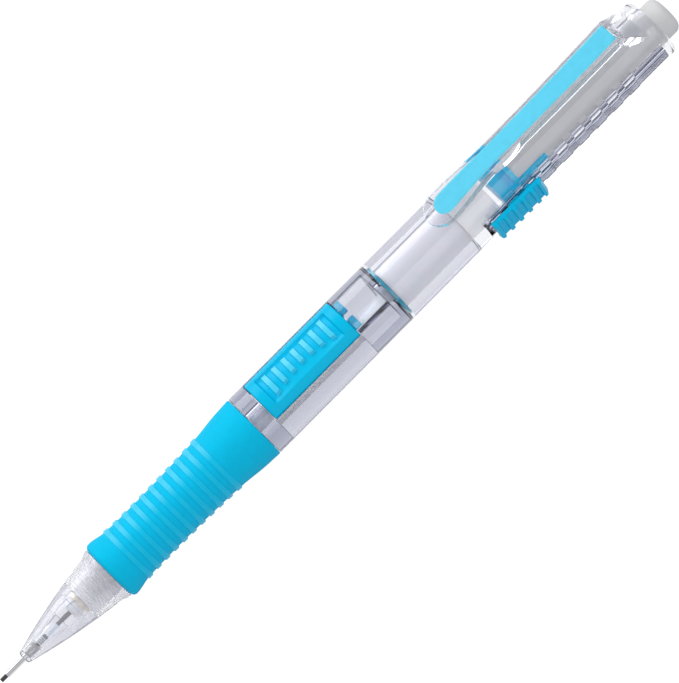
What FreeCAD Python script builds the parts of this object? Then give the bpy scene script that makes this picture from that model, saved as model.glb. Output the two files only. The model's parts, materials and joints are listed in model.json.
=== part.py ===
"""Side-click mechanical pencil with a sliding eraser, as an assembly of separate pieces.

The pencil lies along +X, with the end of its lead at the origin and its eraser at the far end.
The clip and the side button face +Z, and the eraser's thumb slider faces -Y. Millimetres throughout.
Pressing the button pushes four 45 degree ramps forward, and the lead tube and the chuck with them.
"""

import FreeCAD, Part
import math
import os

V = FreeCAD.Vector

# ---- Driving dimensions -------------------------------------------------------------------------
# Clearances
SEAM = 0.05  # between faces that meet, and round a part that slides closely
FIT = 0.02  # round a part that is pressed in
PLAY = 0.15  # round a part that moves freely
END_PLAY = 0.3  # past the end of a part's travel

# Lengths, from the writing end to the eraser
LEAD_SHOWN = 1.2
SLEEVE_SHOWN = 3.7
NOZZLE_LENGTH = 18.75
GRIP_LENGTH = 31.95
BARREL_LENGTH = 29.25  # clear front barrel, from the grip to the joint
MIDDLE_LENGTH = 15.2  # clear tube behind the joint
HOUSING_LENGTH = 43.7  # clear tube that holds the eraser
ERASER_SHOWN = 3.2

# Lead
LEAD_R = 0.345
LEAD_RUN = 0.025  # running clearance round the lead
LEAD_LENGTH = 60.0
LEAD_USED = 12.0
SPARE_LEADS = 3
SPARE_OFFSET = 0.75
SPARE_GAP = 0.5  # from the chuck to the spare leads

# Lead sleeve, retainer and nozzle
SLEEVE_R = 0.52
SLEEVE_SEATED = 3.0  # length of sleeve inside the nozzle
SLEEVE_COLLAR_R = 0.8
SLEEVE_COLLAR_LENGTH = 2.2
RETAINER_R = 0.75
RETAINER_LENGTH = 2.0
RETAINER_GAP = 0.2
NOZZLE_TIP_R = 1.1
NOZZLE_BACK_R = 4.5
NOZZLE_RIM_R = 4.95
NOZZLE_BULGE = 0.33  # how far the cone bows out of a straight line
NOZZLE_FLARE = 1.4
NOZZLE_LAND = 0.6  # nearly straight part of the flare
NOZZLE_TIP_ROUND = 0.2

# Threaded spigot
SPIGOT_R = 3.1
SPIGOT_LENGTH = 5.9
SPIGOT_LEAD_IN = 0.25
THREAD_HEIGHT = 0.28
THREAD_PITCH = 0.5

# Chuck, clutch ring and spring
CHUCK_HEAD_R = 1.55
CHUCK_NOSE_R = 1.2
CHUCK_NOSE = 0.35
CHUCK_STEM_R = 1.05
CHUCK_BORE_R = 0.6
CHUCK_LENGTH = 12.2
CHUCK_HEAD_SHOWN = 1.8  # head in front of the clutch ring
CHUCK_SLIT = 0.25
CHUCK_SLIT_WEB = 0.6  # solid stem left behind the slits
CHUCK_TAIL = 3.0  # thick end that plugs into the lead tube
TAPER_START = 0.6  # in front of the clutch ring
TAPER_END = 0.1  # behind the clutch ring
RING_LENGTH = 0.7
RING_R = 2.0
RING_TRAVEL_SHARE = 0.5
SPRING_WIRE = 0.28
SPRING_WIRE_SIDES = 12
SPRING_TURNS = 9
SPRING_LENGTH = 10.2
SPRING_SEAT_DEPTH = 1.5
SEAT_BORE_R = 1.35

# Lead tube
MAIN_BORE_R = 2.0
TUBE_R = 1.45
TUBE_BORE_R = 1.15
FLANGE_LENGTH = 1.0
TUBE_OVERRUN = 2.3  # lead tube behind the joint

# Front barrel and the joint behind it
BARREL_R = 5.8
BAND_R = 5.77  # plain band between the button and the joint
BAND_GAP = 0.2  # from the button's pocket to the band
GRIP_BORE_R = 3.9
JOINT_SPIGOT_R = 3.05
JOINT_SPIGOT_LENGTH = 5.8
JOINT_SPIGOT_LEAD_IN = 0.3
JOINT_RING_LENGTH = 0.55
JOINT_RING_R = 4.9

# Grip
GRIP_FRONT_R = 5.0
GRIP_LIP_R = 5.38
GRIP_WAIST_R = 4.77
RIB_COUNT = 11
RIB_PITCH = 1.93
RIB_WIDTH = 0.95
RIB_HEIGHT = 0.24
RIB_FIRST = 4.2  # from the grip's front to the first rib's middle
RIB_ROOT = 0.3  # from the grip's bore to the bottom of a rib

# Side button, and the ramps that it presses
BUTTON_LENGTH = 18.45
BUTTON_HALF_WIDTH = 4.1
BUTTON_GAP = 3.1  # from the grip to the button
BUTTON_TRAVEL = 1.5
BUTTON_WALL = 1.2
BUTTON_END_WALL = 1.0
BUTTON_RIBS = 7
BUTTON_RIB_PITCH = 2.0
BUTTON_RIB_WIDTH = 1.0
BUTTON_RIB_SUNK = 0.12  # below the top of the button
SCOOP_LENGTH = 15.1
SCOOP_HALF_WIDTH = 2.85
SCOOP_WAIST = 0.85  # how far each long side of the scoop curves in
SCOOP_DEPTH = 0.55
RAMP_RISE = 2.3
RAMP_TOP_Z = 1.4
RAMP_LAND = 1.2  # flat in front of each ramp's top
RAMP_STATIONS = (2.9, 11.7)  # ramp tops, from the button's front end
CAM_END = 1.2  # collar past the first and last ramps
LEG_BACK = 1.0  # leg behind each ramp
LEG_INNER_Y = 2.15
LEG_OUTER_Y = 3.1
LUG_LENGTH = 1.3
LUG_INNER_Y = 0.5
LUG_OUTER_Y = 2.6
LUG_DEPTH = 0.6
LUG_ROOT_RISE = 0.3  # how far a lug's root runs up into the button's end wall
SKIRT_Z = 3.75  # height of the button's lower edge
CHANNEL_HALF_WIDTH = 3.0
CHANNEL_CEILING_Z = 3.7
CHANNEL_FLOOR_Z = -1.0
CHANNEL_END_WALL = 1.0

# Lead magazine
REAR_BORE_R = 3.72
MAGAZINE_BORE_R = 1.9
MAGAZINE_END_WALL = 1.2
MAGAZINE_REACH = 6.45  # into the eraser housing

# Eraser housing
HOUSING_R = 5.3
HOUSING_TAPER = 14.0
HOUSING_STEP = 0.03  # housing's front edge under the band's size
RIM_ROUND = 0.65
RIM_LIP = 1.2
SLOT_HALF_WIDTH = 1.2
SLOT_END_WALL = 1.7
SLOT_LEAD = 0.9  # slot in front of the knob
NOTCH_DEPTH = 0.5
NOTCH_LENGTH = 2.2
NOTCH_PITCH = 3.71
NOTCH_COUNT = 9
NOTCH_FIRST = 3.75

# Eraser, its holder and its slider
ERASER_R = 3.33
ERASER_ROUND = 1.2
ERASER_GUIDE = 0.12  # clearance in the housing's lip
HOLDER_R = 3.6
HOLDER_DISC = 1.9
HOLDER_NECK = 1.2
HOLDER_NECK_R = 2.2
HOLDER_FLANGE = 0.9
HOLDER_ARM = 5.7
HOLDER_ARM_HALF = 1.6
HOLDER_BRIDGE_HALF = 1.3
SLIDE_BACK = 1.1  # how far the slider can still draw back
KNOB_LENGTH = 10.6
KNOB_HALF_WIDTH = 2.27
KNOB_RISE = 1.18  # from the barrel's radius out to the tops of the knob's ribs
KNOB_AHEAD = 4.2  # knob in front of the holder
KNOB_BEHIND_NECK = 1.8
KNOB_RIBS = 6
KNOB_RIB_PITCH = 1.94
KNOB_RIB_WIDTH = 0.87
KNOB_RIB_HEIGHT = 0.45
KNOB_PEG_HALF = 0.8
KNOB_PEG_LENGTH = 1.0
NECK_PLAY = 0.1

# Clip
CLIP_HALF_WIDTH = 2.15
CLIP_ROOT_HALF_WIDTH = 2.35
CLIP_TIP_HALF_WIDTH = 2.95
CLIP_TIP_LENGTH = 14.0
CLIP_OVERHANG = 3.2  # how far the clip's tip reaches over the middle tube
CLIP_ROOT_GAP = 6.3  # from the clip's hinge to the back of the housing
CLIP_LIFT = 0.65  # from the housing up to the clip's underside
CLIP_UNDERSIDE_RISE = 0.5
CLIP_TIP_THICKNESS = 0.65
CLIP_THICKNESS = 1.8
CLIP_ROOT_THICKNESS = 2.5
CLIP_PAD_R = 9.0
CLIP_PAD_AFTER_TIP = 1.6
CLIP_PAD_MARGIN = 0.3
INLAY_DEPTH = 0.3
INLAY_HALF_WIDTH = 1.6
INLAY_ROOT_HALF_WIDTH = 1.8
INLAY_TIP_HALF_WIDTH = 1.88
INLAY_MARGIN = 2.1  # clear plastic left in front of the inlay
ROOT_SLOPE = 3.6
ROOT_FOOT = 1.2
ROOT_SPREAD = 1.0
ROOT_DEPTH = 1.0  # how far the root block runs into the housing's wall

# ---- Worked-out sizes and stations along X --------------------------------------------------------
SLEEVE_FRONT = LEAD_SHOWN
NOZZLE_FRONT = SLEEVE_FRONT + SLEEVE_SHOWN
GRIP_FRONT = NOZZLE_FRONT + NOZZLE_LENGTH
GRIP_BACK = GRIP_FRONT + GRIP_LENGTH
BARREL_BACK = GRIP_BACK + BARREL_LENGTH
MIDDLE_BACK = BARREL_BACK + MIDDLE_LENGTH
HOUSING_BACK = MIDDLE_BACK + HOUSING_LENGTH
ERASER_BACK = HOUSING_BACK + ERASER_SHOWN

SLEEVE_BACK = NOZZLE_FRONT + SLEEVE_SEATED
COLLAR_FRONT = SLEEVE_BACK - SLEEVE_COLLAR_LENGTH
RETAINER_FRONT = SLEEVE_BACK + RETAINER_GAP
RETAINER_BACK = RETAINER_FRONT + RETAINER_LENGTH
SPIGOT_FRONT = GRIP_FRONT - SPIGOT_LENGTH
THREAD_R = SPIGOT_R + THREAD_HEIGHT
RING_BACK = SPIGOT_FRONT - SEAM
RING_FRONT = RING_BACK - RING_LENGTH
TAPER_FRONT = RING_FRONT - TAPER_START
TAPER_BACK = RING_BACK + TAPER_END
TAPER_SLOPE = (CHUCK_HEAD_R - CHUCK_STEM_R) / (TAPER_BACK - TAPER_FRONT)
CHUCK_FRONT = RING_FRONT - CHUCK_HEAD_SHOWN
CHUCK_BACK = CHUCK_FRONT + CHUCK_LENGTH
TUBE_FRONT = CHUCK_BACK - CHUCK_TAIL
TUBE_BACK = BARREL_BACK + TUBE_OVERRUN
SPRING_SEAT = SPIGOT_FRONT + SPRING_SEAT_DEPTH
FLANGE_FRONT = SPRING_SEAT + SPRING_LENGTH + 2 * SEAM

BUTTON_FRONT = GRIP_BACK + BUTTON_GAP
BUTTON_BACK = BUTTON_FRONT + BUTTON_LENGTH
BUTTON_MIDDLE = (BUTTON_FRONT + BUTTON_BACK) / 2
BAND_FRONT = BUTTON_BACK + PLAY + BAND_GAP
BUTTON_TOP_R = BARREL_R - SEAM
POCKET_FLOOR_Z = SKIRT_Z - BUTTON_TRAVEL - PLAY
RAMP_LOW_Z = RAMP_TOP_Z - RAMP_RISE
TROUGH_FLOOR_Z = RAMP_LOW_Z - BUTTON_TRAVEL - PLAY
RAMPS = [BUTTON_FRONT + station for station in RAMP_STATIONS]

RING_SEAT_FRONT = BARREL_BACK + SEAM
RING_SEAT_BACK = RING_SEAT_FRONT + JOINT_RING_LENGTH + SEAM
MAGAZINE_BACK = MIDDLE_BACK + MAGAZINE_REACH
SOCKET_BACK = BARREL_BACK + JOINT_SPIGOT_LENGTH + END_PLAY
HOUSING_FRONT_R = BAND_R - HOUSING_STEP

HOLDER_FRONT = MAGAZINE_BACK + SLIDE_BACK + NECK_PLAY
DISC_BACK = HOLDER_FRONT + HOLDER_DISC
FLANGE_START = DISC_BACK + HOLDER_NECK
ERASER_FRONT = FLANGE_START + HOLDER_FLANGE
HOLDER_BACK = ERASER_FRONT + HOLDER_ARM
KNOB_FRONT = HOLDER_FRONT - KNOB_AHEAD
KNOB_BACK = KNOB_FRONT + KNOB_LENGTH
KNOB_TOP = BARREL_R + KNOB_RISE
NECK_FRONT = HOLDER_FRONT + SEAM
NECK_BACK = KNOB_BACK - KNOB_BEHIND_NECK
SLOT_FRONT = KNOB_FRONT - SLOT_LEAD
SLOT_BACK = HOUSING_BACK - SLOT_END_WALL

CLIP_TIP_X = MIDDLE_BACK - CLIP_OVERHANG
CLIP_KNEE_X = CLIP_TIP_X + CLIP_TIP_LENGTH
CLIP_ROOT_X = HOUSING_BACK - CLIP_ROOT_GAP
CLIP_BLADE_END = CLIP_ROOT_X - SEAM
CLIP_UNDERSIDE = HOUSING_R + CLIP_LIFT
CLIP_TOP_Z = CLIP_UNDERSIDE + CLIP_ROOT_THICKNESS

FAR = 20.0  # longer than any cross-section, for cutting shapes


# ---- Helpers ------------------------------------------------------------------------------------
def turned(outline):
    """A solid of revolution about the X axis. The outline is (x, radius) points."""
    corners = [V(x, 0, radius) for x, radius in outline]
    face = Part.Face(Part.makePolygon(corners + corners[:1]))
    return face.revolve(V(0, 0, 0), V(1, 0, 0), 360)


def turned_edges(edges):
    """A solid of revolution about the X axis, from edges in the XZ plane that close a loop."""
    return Part.Face(Part.Wire(edges)).revolve(V(0, 0, 0), V(1, 0, 0), 360)


def rod(front, back, radius):
    return Part.makeCylinder(radius, back - front, V(front, 0, 0), V(1, 0, 0))


def tube(front, back, outer, inner):
    return turned([(front, inner), (front, outer), (back, outer), (back, inner)])


def block(x0, x1, y0, y1, z0, z1):
    return Part.makeBox(x1 - x0, y1 - y0, z1 - z0, V(x0, y0, z0))


def middle_block(x0, x1, half, z0, z1):
    """A block that is as wide on both sides of the pencil's middle plane."""
    return block(x0, x1, -half, half, z0, z1)


def side_blocks(x0, x1, inner, outer, z0, z1):
    """A pair of blocks, one on each side, from y = inner to y = outer."""
    return [block(x0, x1, inner, outer, z0, z1), block(x0, x1, -outer, -inner, z0, z1)]


def plate(corners, y0, y1):
    """A flat-sided solid: the (x, z) corners, from y0 to y1."""
    points = [V(x, y0, z) for x, z in corners]
    return Part.Face(Part.makePolygon(points + points[:1])).extrude(V(0, y1 - y0, 0))


def smooth(points):
    """One smooth curve through the points, as an edge."""
    curve = Part.BSplineCurve()
    curve.interpolate([V(*point) for point in points])
    return curve.toShape()


def arc(first, middle, last):
    return Part.Arc(V(*first), V(*middle), V(*last)).toShape()


def line(first, last):
    return Part.makeLine(V(*first), V(*last))


def fused(first, *others):
    return first.multiFuse(list(others)).removeSplitter()


# ---- Writing end --------------------------------------------------------------------------------
def lead():
    return rod(0, LEAD_LENGTH - LEAD_USED, LEAD_R)


def lead_sleeve():
    """Thin tube with a collar that holds it in the nozzle."""
    bore_r = LEAD_R + LEAD_RUN
    return turned(
        [
            (SLEEVE_FRONT, bore_r),
            (SLEEVE_FRONT, SLEEVE_R),
            (COLLAR_FRONT, SLEEVE_R),
            (COLLAR_FRONT, SLEEVE_COLLAR_R),
            (SLEEVE_BACK, SLEEVE_COLLAR_R),
            (SLEEVE_BACK, bore_r),
        ]
    )


def lead_retainer():
    """Soft ring that holds the lead lightly while the chuck is open."""
    return tube(RETAINER_FRONT, RETAINER_BACK, RETAINER_R, LEAD_R + LEAD_RUN)


def nozzle():
    """Clear cone. Its outside is one long arc with a short flare at the back."""
    rim_x = GRIP_FRONT - SEAM
    flare_x = rim_x - NOZZLE_FLARE
    land_x = rim_x - NOZZLE_LAND
    round_x = NOZZLE_FRONT + NOZZLE_TIP_ROUND
    middle_r = (NOZZLE_TIP_R + NOZZLE_BACK_R) / 2 + NOZZLE_BULGE
    corners = {
        "axis": (NOZZLE_FRONT, 0, 0),
        "face": (NOZZLE_FRONT, 0, NOZZLE_TIP_R - NOZZLE_TIP_ROUND),
        "tip": (round_x, 0, NOZZLE_TIP_R),
        "bow": ((round_x + flare_x) / 2, 0, middle_r),
        "flare": (flare_x, 0, NOZZLE_BACK_R),
        "land": (land_x, 0, NOZZLE_RIM_R - SEAM),
        "rim": (rim_x, 0, NOZZLE_RIM_R),
        "back": (rim_x, 0, 0),
    }
    outside = [
        line(corners["axis"], corners["face"]),
        line(corners["face"], corners["tip"]),
        arc(corners["tip"], corners["bow"], corners["flare"]),
        line(corners["flare"], corners["land"]),
        line(corners["land"], corners["rim"]),
        line(corners["rim"], corners["back"]),
        line(corners["back"], corners["axis"]),
    ]
    chuck_room = CHUCK_FRONT - BUTTON_TRAVEL - END_PLAY
    ring_stop = RING_FRONT - BUTTON_TRAVEL * RING_TRAVEL_SHARE - SEAM
    lead_bore = LEAD_R + SEAM + LEAD_RUN
    inside = turned(
        [
            (NOZZLE_FRONT - 1, 0),
            (NOZZLE_FRONT - 1, SLEEVE_R),
            (COLLAR_FRONT, SLEEVE_R),
            (COLLAR_FRONT, SLEEVE_COLLAR_R),
            (SLEEVE_BACK, SLEEVE_COLLAR_R),
            (SLEEVE_BACK, lead_bore),
            (RETAINER_FRONT, lead_bore),
            (RETAINER_FRONT, RETAINER_R),
            (RETAINER_BACK, RETAINER_R),
            (chuck_room, CHUCK_NOSE_R),
            (chuck_room, CHUCK_HEAD_R + PLAY),
            (ring_stop, CHUCK_HEAD_R + PLAY),
            (ring_stop, RING_R + PLAY),
            (SPIGOT_FRONT - SEAM, RING_R + PLAY),
            (SPIGOT_FRONT - SEAM, THREAD_R + SEAM),
            (GRIP_FRONT + 1, THREAD_R + SEAM),
            (GRIP_FRONT + 1, 0),
        ]
    )
    return turned_edges(outside).cut(inside)


# ---- Chuck, lead tube and ramps, which slide together --------------------------------------------
def chuck():
    """Three-jawed collet with a tapered head. Its slits stop short of the tail."""
    tail_front = CHUCK_BACK - CHUCK_TAIL
    body = turned(
        [
            (CHUCK_FRONT, 0),
            (CHUCK_FRONT, CHUCK_NOSE_R),
            (CHUCK_FRONT + CHUCK_NOSE, CHUCK_HEAD_R),
            (TAPER_FRONT, CHUCK_HEAD_R),
            (TAPER_BACK, CHUCK_STEM_R),
            (tail_front, CHUCK_STEM_R),
            (tail_front, TUBE_BORE_R),
            (CHUCK_BACK, TUBE_BORE_R),
            (CHUCK_BACK, 0),
        ]
    )
    bore = turned(
        [
            (CHUCK_FRONT - 1, 0),
            (CHUCK_FRONT - 1, LEAD_R + LEAD_RUN),
            (RING_BACK, LEAD_R + LEAD_RUN),
            (RING_BACK + CHUCK_BORE_R, CHUCK_BORE_R),
            (CHUCK_BACK + 1, CHUCK_BORE_R),
            (CHUCK_BACK + 1, 0),
        ]
    )
    body = body.cut(bore)
    for angle in (90, 210, 330):
        slit = block(CHUCK_FRONT - 1, tail_front - CHUCK_SLIT_WEB, 0, FAR, -CHUCK_SLIT / 2, CHUCK_SLIT / 2)
        slit.rotate(V(0, 0, 0), V(1, 0, 0), angle)
        body = body.cut(slit)
    return body


def clutch_ring():
    """Ring that closes the jaws as the chuck draws back. Its bore follows the chuck's taper."""
    front_r = CHUCK_HEAD_R - TAPER_SLOPE * (RING_FRONT - TAPER_FRONT) + SEAM
    back_r = CHUCK_HEAD_R - TAPER_SLOPE * (RING_BACK - TAPER_FRONT) + SEAM
    return turned([(RING_FRONT, front_r), (RING_FRONT, RING_R), (RING_BACK, RING_R), (RING_BACK, back_r)])


def chuck_spring():
    """Compression spring between the barrel's seat and the lead tube's flange.

    Its wire is a many-sided section, because a round one swept along a helix leaves an open seam.
    """
    radius = (TUBE_R + MAIN_BORE_R) / 2
    wire_r = SPRING_WIRE / 2
    run = SPRING_LENGTH - SPRING_WIRE
    helix = Part.Wire(Part.makeHelix(run / SPRING_TURNS, run, radius))
    section = []
    for i in range(SPRING_WIRE_SIDES):
        angle = 2 * math.pi * i / SPRING_WIRE_SIDES
        section.append(V(radius + wire_r * math.cos(angle), 0, wire_r * math.sin(angle)))
    coil = helix.makePipeShell([Part.makePolygon(section + section[:1])], True, True)
    coil.rotate(V(0, 0, 0), V(0, 1, 0), 90)
    coil.translate(V(SPRING_SEAT + SEAM + wire_r, 0, 0))
    return coil


def lead_tube():
    """Tube that carries the spare leads, with a flange that the spring presses on."""
    flange_back = FLANGE_FRONT + FLANGE_LENGTH
    return turned(
        [
            (TUBE_FRONT, TUBE_BORE_R),
            (TUBE_FRONT, TUBE_R),
            (FLANGE_FRONT, TUBE_R),
            (FLANGE_FRONT, MAIN_BORE_R - SEAM),
            (flange_back, MAIN_BORE_R - SEAM),
            (flange_back, TUBE_R),
            (TUBE_BACK, TUBE_R),
            (TUBE_BACK, TUBE_BORE_R),
        ]
    )


def cam_slider():
    """Collar on the lead tube with two pairs of ramps, which the button's legs push forward."""
    front = BUTTON_FRONT + BUTTON_END_WALL + BUTTON_TRAVEL + PLAY
    back = RAMPS[-1] + RAMP_RISE + CAM_END
    collar = rod(front, back, MAIN_BORE_R - SEAM)
    ramps = []
    for top in RAMPS:
        outline = [
            (top - RAMP_LAND, RAMP_LOW_Z),
            (top - RAMP_LAND, RAMP_TOP_Z),
            (top, RAMP_TOP_Z),
            (top + RAMP_RISE, RAMP_LOW_Z),
        ]
        ramps.append(plate(outline, -LEG_OUTER_Y, LEG_OUTER_Y))
    return fused(collar, *ramps).cut(rod(front - 1, back + 1, TUBE_R))


def spare_leads():
    """Spare leads side by side in the lead tube."""
    start = CHUCK_BACK + SPARE_GAP
    leads = []
    for i in range(SPARE_LEADS):
        angle = 2 * math.pi * (i + 0.25) / SPARE_LEADS
        centre = V(start, SPARE_OFFSET * math.cos(angle), SPARE_OFFSET * math.sin(angle))
        leads.append(Part.makeCylinder(LEAD_R, LEAD_LENGTH, centre, V(1, 0, 0)))
    return Part.makeCompound(leads)


# ---- Side button --------------------------------------------------------------------------------
def scoop(z0):
    """The finger scoop, upwards from z0. From above it is a rectangle whose long sides curve in."""
    x0 = BUTTON_MIDDLE - SCOOP_LENGTH / 2
    x1 = BUTTON_MIDDLE + SCOOP_LENGTH / 2
    side = SCOOP_HALF_WIDTH
    waist = side - SCOOP_WAIST
    edges = [
        arc((x0, side, z0), (BUTTON_MIDDLE, waist, z0), (x1, side, z0)),
        line((x1, side, z0), (x1, -side, z0)),
        arc((x1, -side, z0), (BUTTON_MIDDLE, -waist, z0), (x0, -side, z0)),
        line((x0, -side, z0), (x0, side, z0)),
    ]
    return Part.Face(Part.Wire(edges)).extrude(V(0, 0, FAR))


def button_ribs():
    """Cross ribs on the scoop's floor, with their tops just under the button's top."""
    band = tube(BUTTON_FRONT, BUTTON_BACK, BUTTON_TOP_R - BUTTON_RIB_SUNK, BUTTON_TOP_R - BUTTON_WALL / 2)
    area = scoop(SKIRT_Z).common(band)
    first = BUTTON_MIDDLE - BUTTON_RIB_PITCH * (BUTTON_RIBS - 1) / 2
    ribs = []
    for i in range(BUTTON_RIBS):
        x0 = first + i * BUTTON_RIB_PITCH - BUTTON_RIB_WIDTH / 2
        rib = middle_block(x0, x0 + BUTTON_RIB_WIDTH, BUTTON_HALF_WIDTH, SKIRT_Z, FAR)
        ribs.append(rib.common(area))
    return ribs


def button_legs():
    """A pair of legs over each pair of ramps. Their slanted ends push the ramps forward."""
    ceiling = rod(BUTTON_FRONT, BUTTON_BACK, BUTTON_TOP_R - BUTTON_WALL / 2)
    legs = []
    for top in RAMPS:
        outline = [
            (top + SEAM, RAMP_TOP_Z + SEAM),
            (top + SEAM, BUTTON_TOP_R),
            (top + RAMP_RISE + LEG_BACK, BUTTON_TOP_R),
            (top + RAMP_RISE + LEG_BACK, RAMP_LOW_Z + SEAM),
            (top + RAMP_RISE + 2 * SEAM, RAMP_LOW_Z + SEAM),
        ]
        legs.append(plate(outline, LEG_INNER_Y, LEG_OUTER_Y).common(ceiling))
        legs.append(plate(outline, -LEG_OUTER_Y, -LEG_INNER_Y).common(ceiling))
    return legs


def side_button():
    """Curved shell with a ribbed scoop, four legs, and two lugs that hook under the barrel's wall."""
    shell = rod(BUTTON_FRONT, BUTTON_BACK, BUTTON_TOP_R)
    shell = shell.common(middle_block(BUTTON_FRONT, BUTTON_BACK, BUTTON_HALF_WIDTH, SKIRT_Z, FAR))
    inside_front = BUTTON_FRONT + BUTTON_END_WALL
    inside_back = BUTTON_BACK - BUTTON_END_WALL
    hollow = rod(inside_front, inside_back, BUTTON_TOP_R - BUTTON_WALL)
    hollow = hollow.common(middle_block(inside_front, inside_back, LEG_OUTER_Y, 0, FAR))
    floor = rod(BUTTON_FRONT, BUTTON_BACK, BUTTON_TOP_R - SCOOP_DEPTH)
    button = shell.cut(hollow).cut(scoop(SKIRT_Z).cut(floor))
    lug_front = BUTTON_BACK - BUTTON_END_WALL
    lug_low = SKIRT_Z - LUG_DEPTH
    lug_top = CHANNEL_CEILING_Z - 2 * SEAM
    lugs = side_blocks(lug_front, BUTTON_BACK + LUG_LENGTH, LUG_INNER_Y, LUG_OUTER_Y, lug_low, lug_top)
    roots = side_blocks(lug_front, BUTTON_BACK, LUG_INNER_Y, LUG_OUTER_Y, lug_low, SKIRT_Z + LUG_ROOT_RISE)
    return fused(button, *button_ribs(), *button_legs(), *lugs, *roots)


# ---- Front barrel and grip ----------------------------------------------------------------------
def spigot_threads():
    """Rings that stand for the thread on the spigot."""
    root = SPIGOT_R - SEAM
    count = int((SPIGOT_LENGTH - SPIGOT_LEAD_IN - THREAD_PITCH) / THREAD_PITCH)
    threads = []
    for i in range(count):
        x = SPIGOT_FRONT + SPIGOT_LEAD_IN + i * THREAD_PITCH
        crest = x + THREAD_PITCH / 2
        threads.append(turned([(x, root), (crest, THREAD_R), (x + THREAD_PITCH, root)]))
    return threads


def front_barrel():
    """Clear body: threaded spigot, core under the grip, full-width part with the button's pocket."""
    spigot_back = BARREL_BACK + JOINT_SPIGOT_LENGTH
    body = turned(
        [
            (SPIGOT_FRONT, 0),
            (SPIGOT_FRONT, SPIGOT_R - SPIGOT_LEAD_IN),
            (SPIGOT_FRONT + SPIGOT_LEAD_IN, SPIGOT_R),
            (GRIP_FRONT, SPIGOT_R),
            (GRIP_FRONT, GRIP_BORE_R),
            (GRIP_BACK, GRIP_BORE_R),
            (GRIP_BACK, BARREL_R),
            (BAND_FRONT, BARREL_R),
            (BAND_FRONT, BAND_R),
            (BARREL_BACK, BAND_R),
            (BARREL_BACK, JOINT_SPIGOT_R),
            (spigot_back - JOINT_SPIGOT_LEAD_IN, JOINT_SPIGOT_R),
            (spigot_back, JOINT_SPIGOT_R - JOINT_SPIGOT_LEAD_IN),
            (spigot_back, 0),
        ]
    )
    bore = turned(
        [
            (SPIGOT_FRONT - 1, 0),
            (SPIGOT_FRONT - 1, SEAT_BORE_R),
            (SPRING_SEAT, SEAT_BORE_R),
            (SPRING_SEAT, MAIN_BORE_R),
            (spigot_back + 1, MAIN_BORE_R),
            (spigot_back + 1, 0),
        ]
    )
    front = BUTTON_FRONT - PLAY
    back = BUTTON_BACK + PLAY
    pocket = middle_block(front, back, BUTTON_HALF_WIDTH + PLAY, POCKET_FLOOR_Z, FAR)
    trough = middle_block(front, back, LEG_OUTER_Y + PLAY, TROUGH_FLOOR_Z, FAR)
    channel_back = BARREL_BACK - CHANNEL_END_WALL
    channel = middle_block(BUTTON_BACK, channel_back, CHANNEL_HALF_WIDTH, CHANNEL_FLOOR_Z, CHANNEL_CEILING_Z)
    body = body.multiFuse(spigot_threads())
    return body.cut(bore).cut(pocket).cut(trough).cut(channel)


def grip_body(lift):
    """The grip with a lip, a waist and a swell, its outside raised by lift."""
    outline = [
        (0.02, GRIP_LIP_R - 0.08),
        (0.04, GRIP_LIP_R),
        (0.115, GRIP_WAIST_R + 0.16),
        (0.295, GRIP_WAIST_R),
        (0.6, GRIP_WAIST_R + 0.15),
        (0.765, GRIP_WAIST_R + 0.42),
        (0.885, BARREL_R - 0.18),
        (1.0, BARREL_R),
    ]
    length = GRIP_LENGTH - SEAM
    curve = [(GRIP_FRONT + share * length, 0, radius + lift) for share, radius in outline]
    front = (GRIP_FRONT, 0, GRIP_FRONT_R + lift)
    inner_front = (GRIP_FRONT, 0, GRIP_BORE_R)
    inner_back = (GRIP_FRONT + length, 0, GRIP_BORE_R)
    edges = [
        line(inner_front, front),
        line(front, curve[0]),
        smooth(curve),
        line(curve[-1], inner_back),
        line(inner_back, inner_front),
    ]
    return turned_edges(edges)


def grip_sleeve():
    """Soft sleeve with a row of raised bands round its waist."""
    raised = grip_body(RIB_HEIGHT)
    bands = []
    for i in range(RIB_COUNT):
        x0 = GRIP_FRONT + RIB_FIRST + i * RIB_PITCH - RIB_WIDTH / 2
        bands.append(raised.common(tube(x0, x0 + RIB_WIDTH, FAR, GRIP_BORE_R + RIB_ROOT)))
    return fused(grip_body(0), *bands)


# ---- Rear barrel --------------------------------------------------------------------------------
def joint_ring():
    """Thin coloured ring that shows through the clear wall where the two barrels meet."""
    back = RING_SEAT_FRONT + JOINT_RING_LENGTH
    return tube(RING_SEAT_FRONT, back, JOINT_RING_R, JOINT_SPIGOT_R + SEAM)


def middle_tube():
    """Clear tube between the joint and the eraser housing, with a seat for the ring."""
    seat_r = JOINT_RING_R + FIT
    back = MIDDLE_BACK - SEAM
    return turned(
        [
            (RING_SEAT_FRONT, seat_r),
            (RING_SEAT_FRONT, BAND_R),
            (back, HOUSING_FRONT_R),
            (back, REAR_BORE_R),
            (RING_SEAT_BACK, REAR_BORE_R),
            (RING_SEAT_BACK, seat_r),
        ]
    )


def lead_magazine():
    """Milky sleeve that joins the middle tube to the housing and closes over the spare leads."""
    outer = REAR_BORE_R - FIT
    socket_r = JOINT_SPIGOT_R + SEAM
    end = MAGAZINE_BACK - MAGAZINE_END_WALL
    return turned(
        [
            (RING_SEAT_BACK, socket_r),
            (RING_SEAT_BACK, outer),
            (MAGAZINE_BACK, outer),
            (MAGAZINE_BACK, 0),
            (end, 0),
            (end, MAGAZINE_BORE_R),
            (SOCKET_BACK, MAGAZINE_BORE_R),
            (SOCKET_BACK, socket_r),
        ]
    )


def housing_radius(x):
    """Outside radius of the eraser housing, which tapers and is then straight."""
    share = min(1.0, max(0.0, (x - MIDDLE_BACK) / HOUSING_TAPER))
    return HOUSING_FRONT_R + (HOUSING_R - HOUSING_FRONT_R) * share


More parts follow.
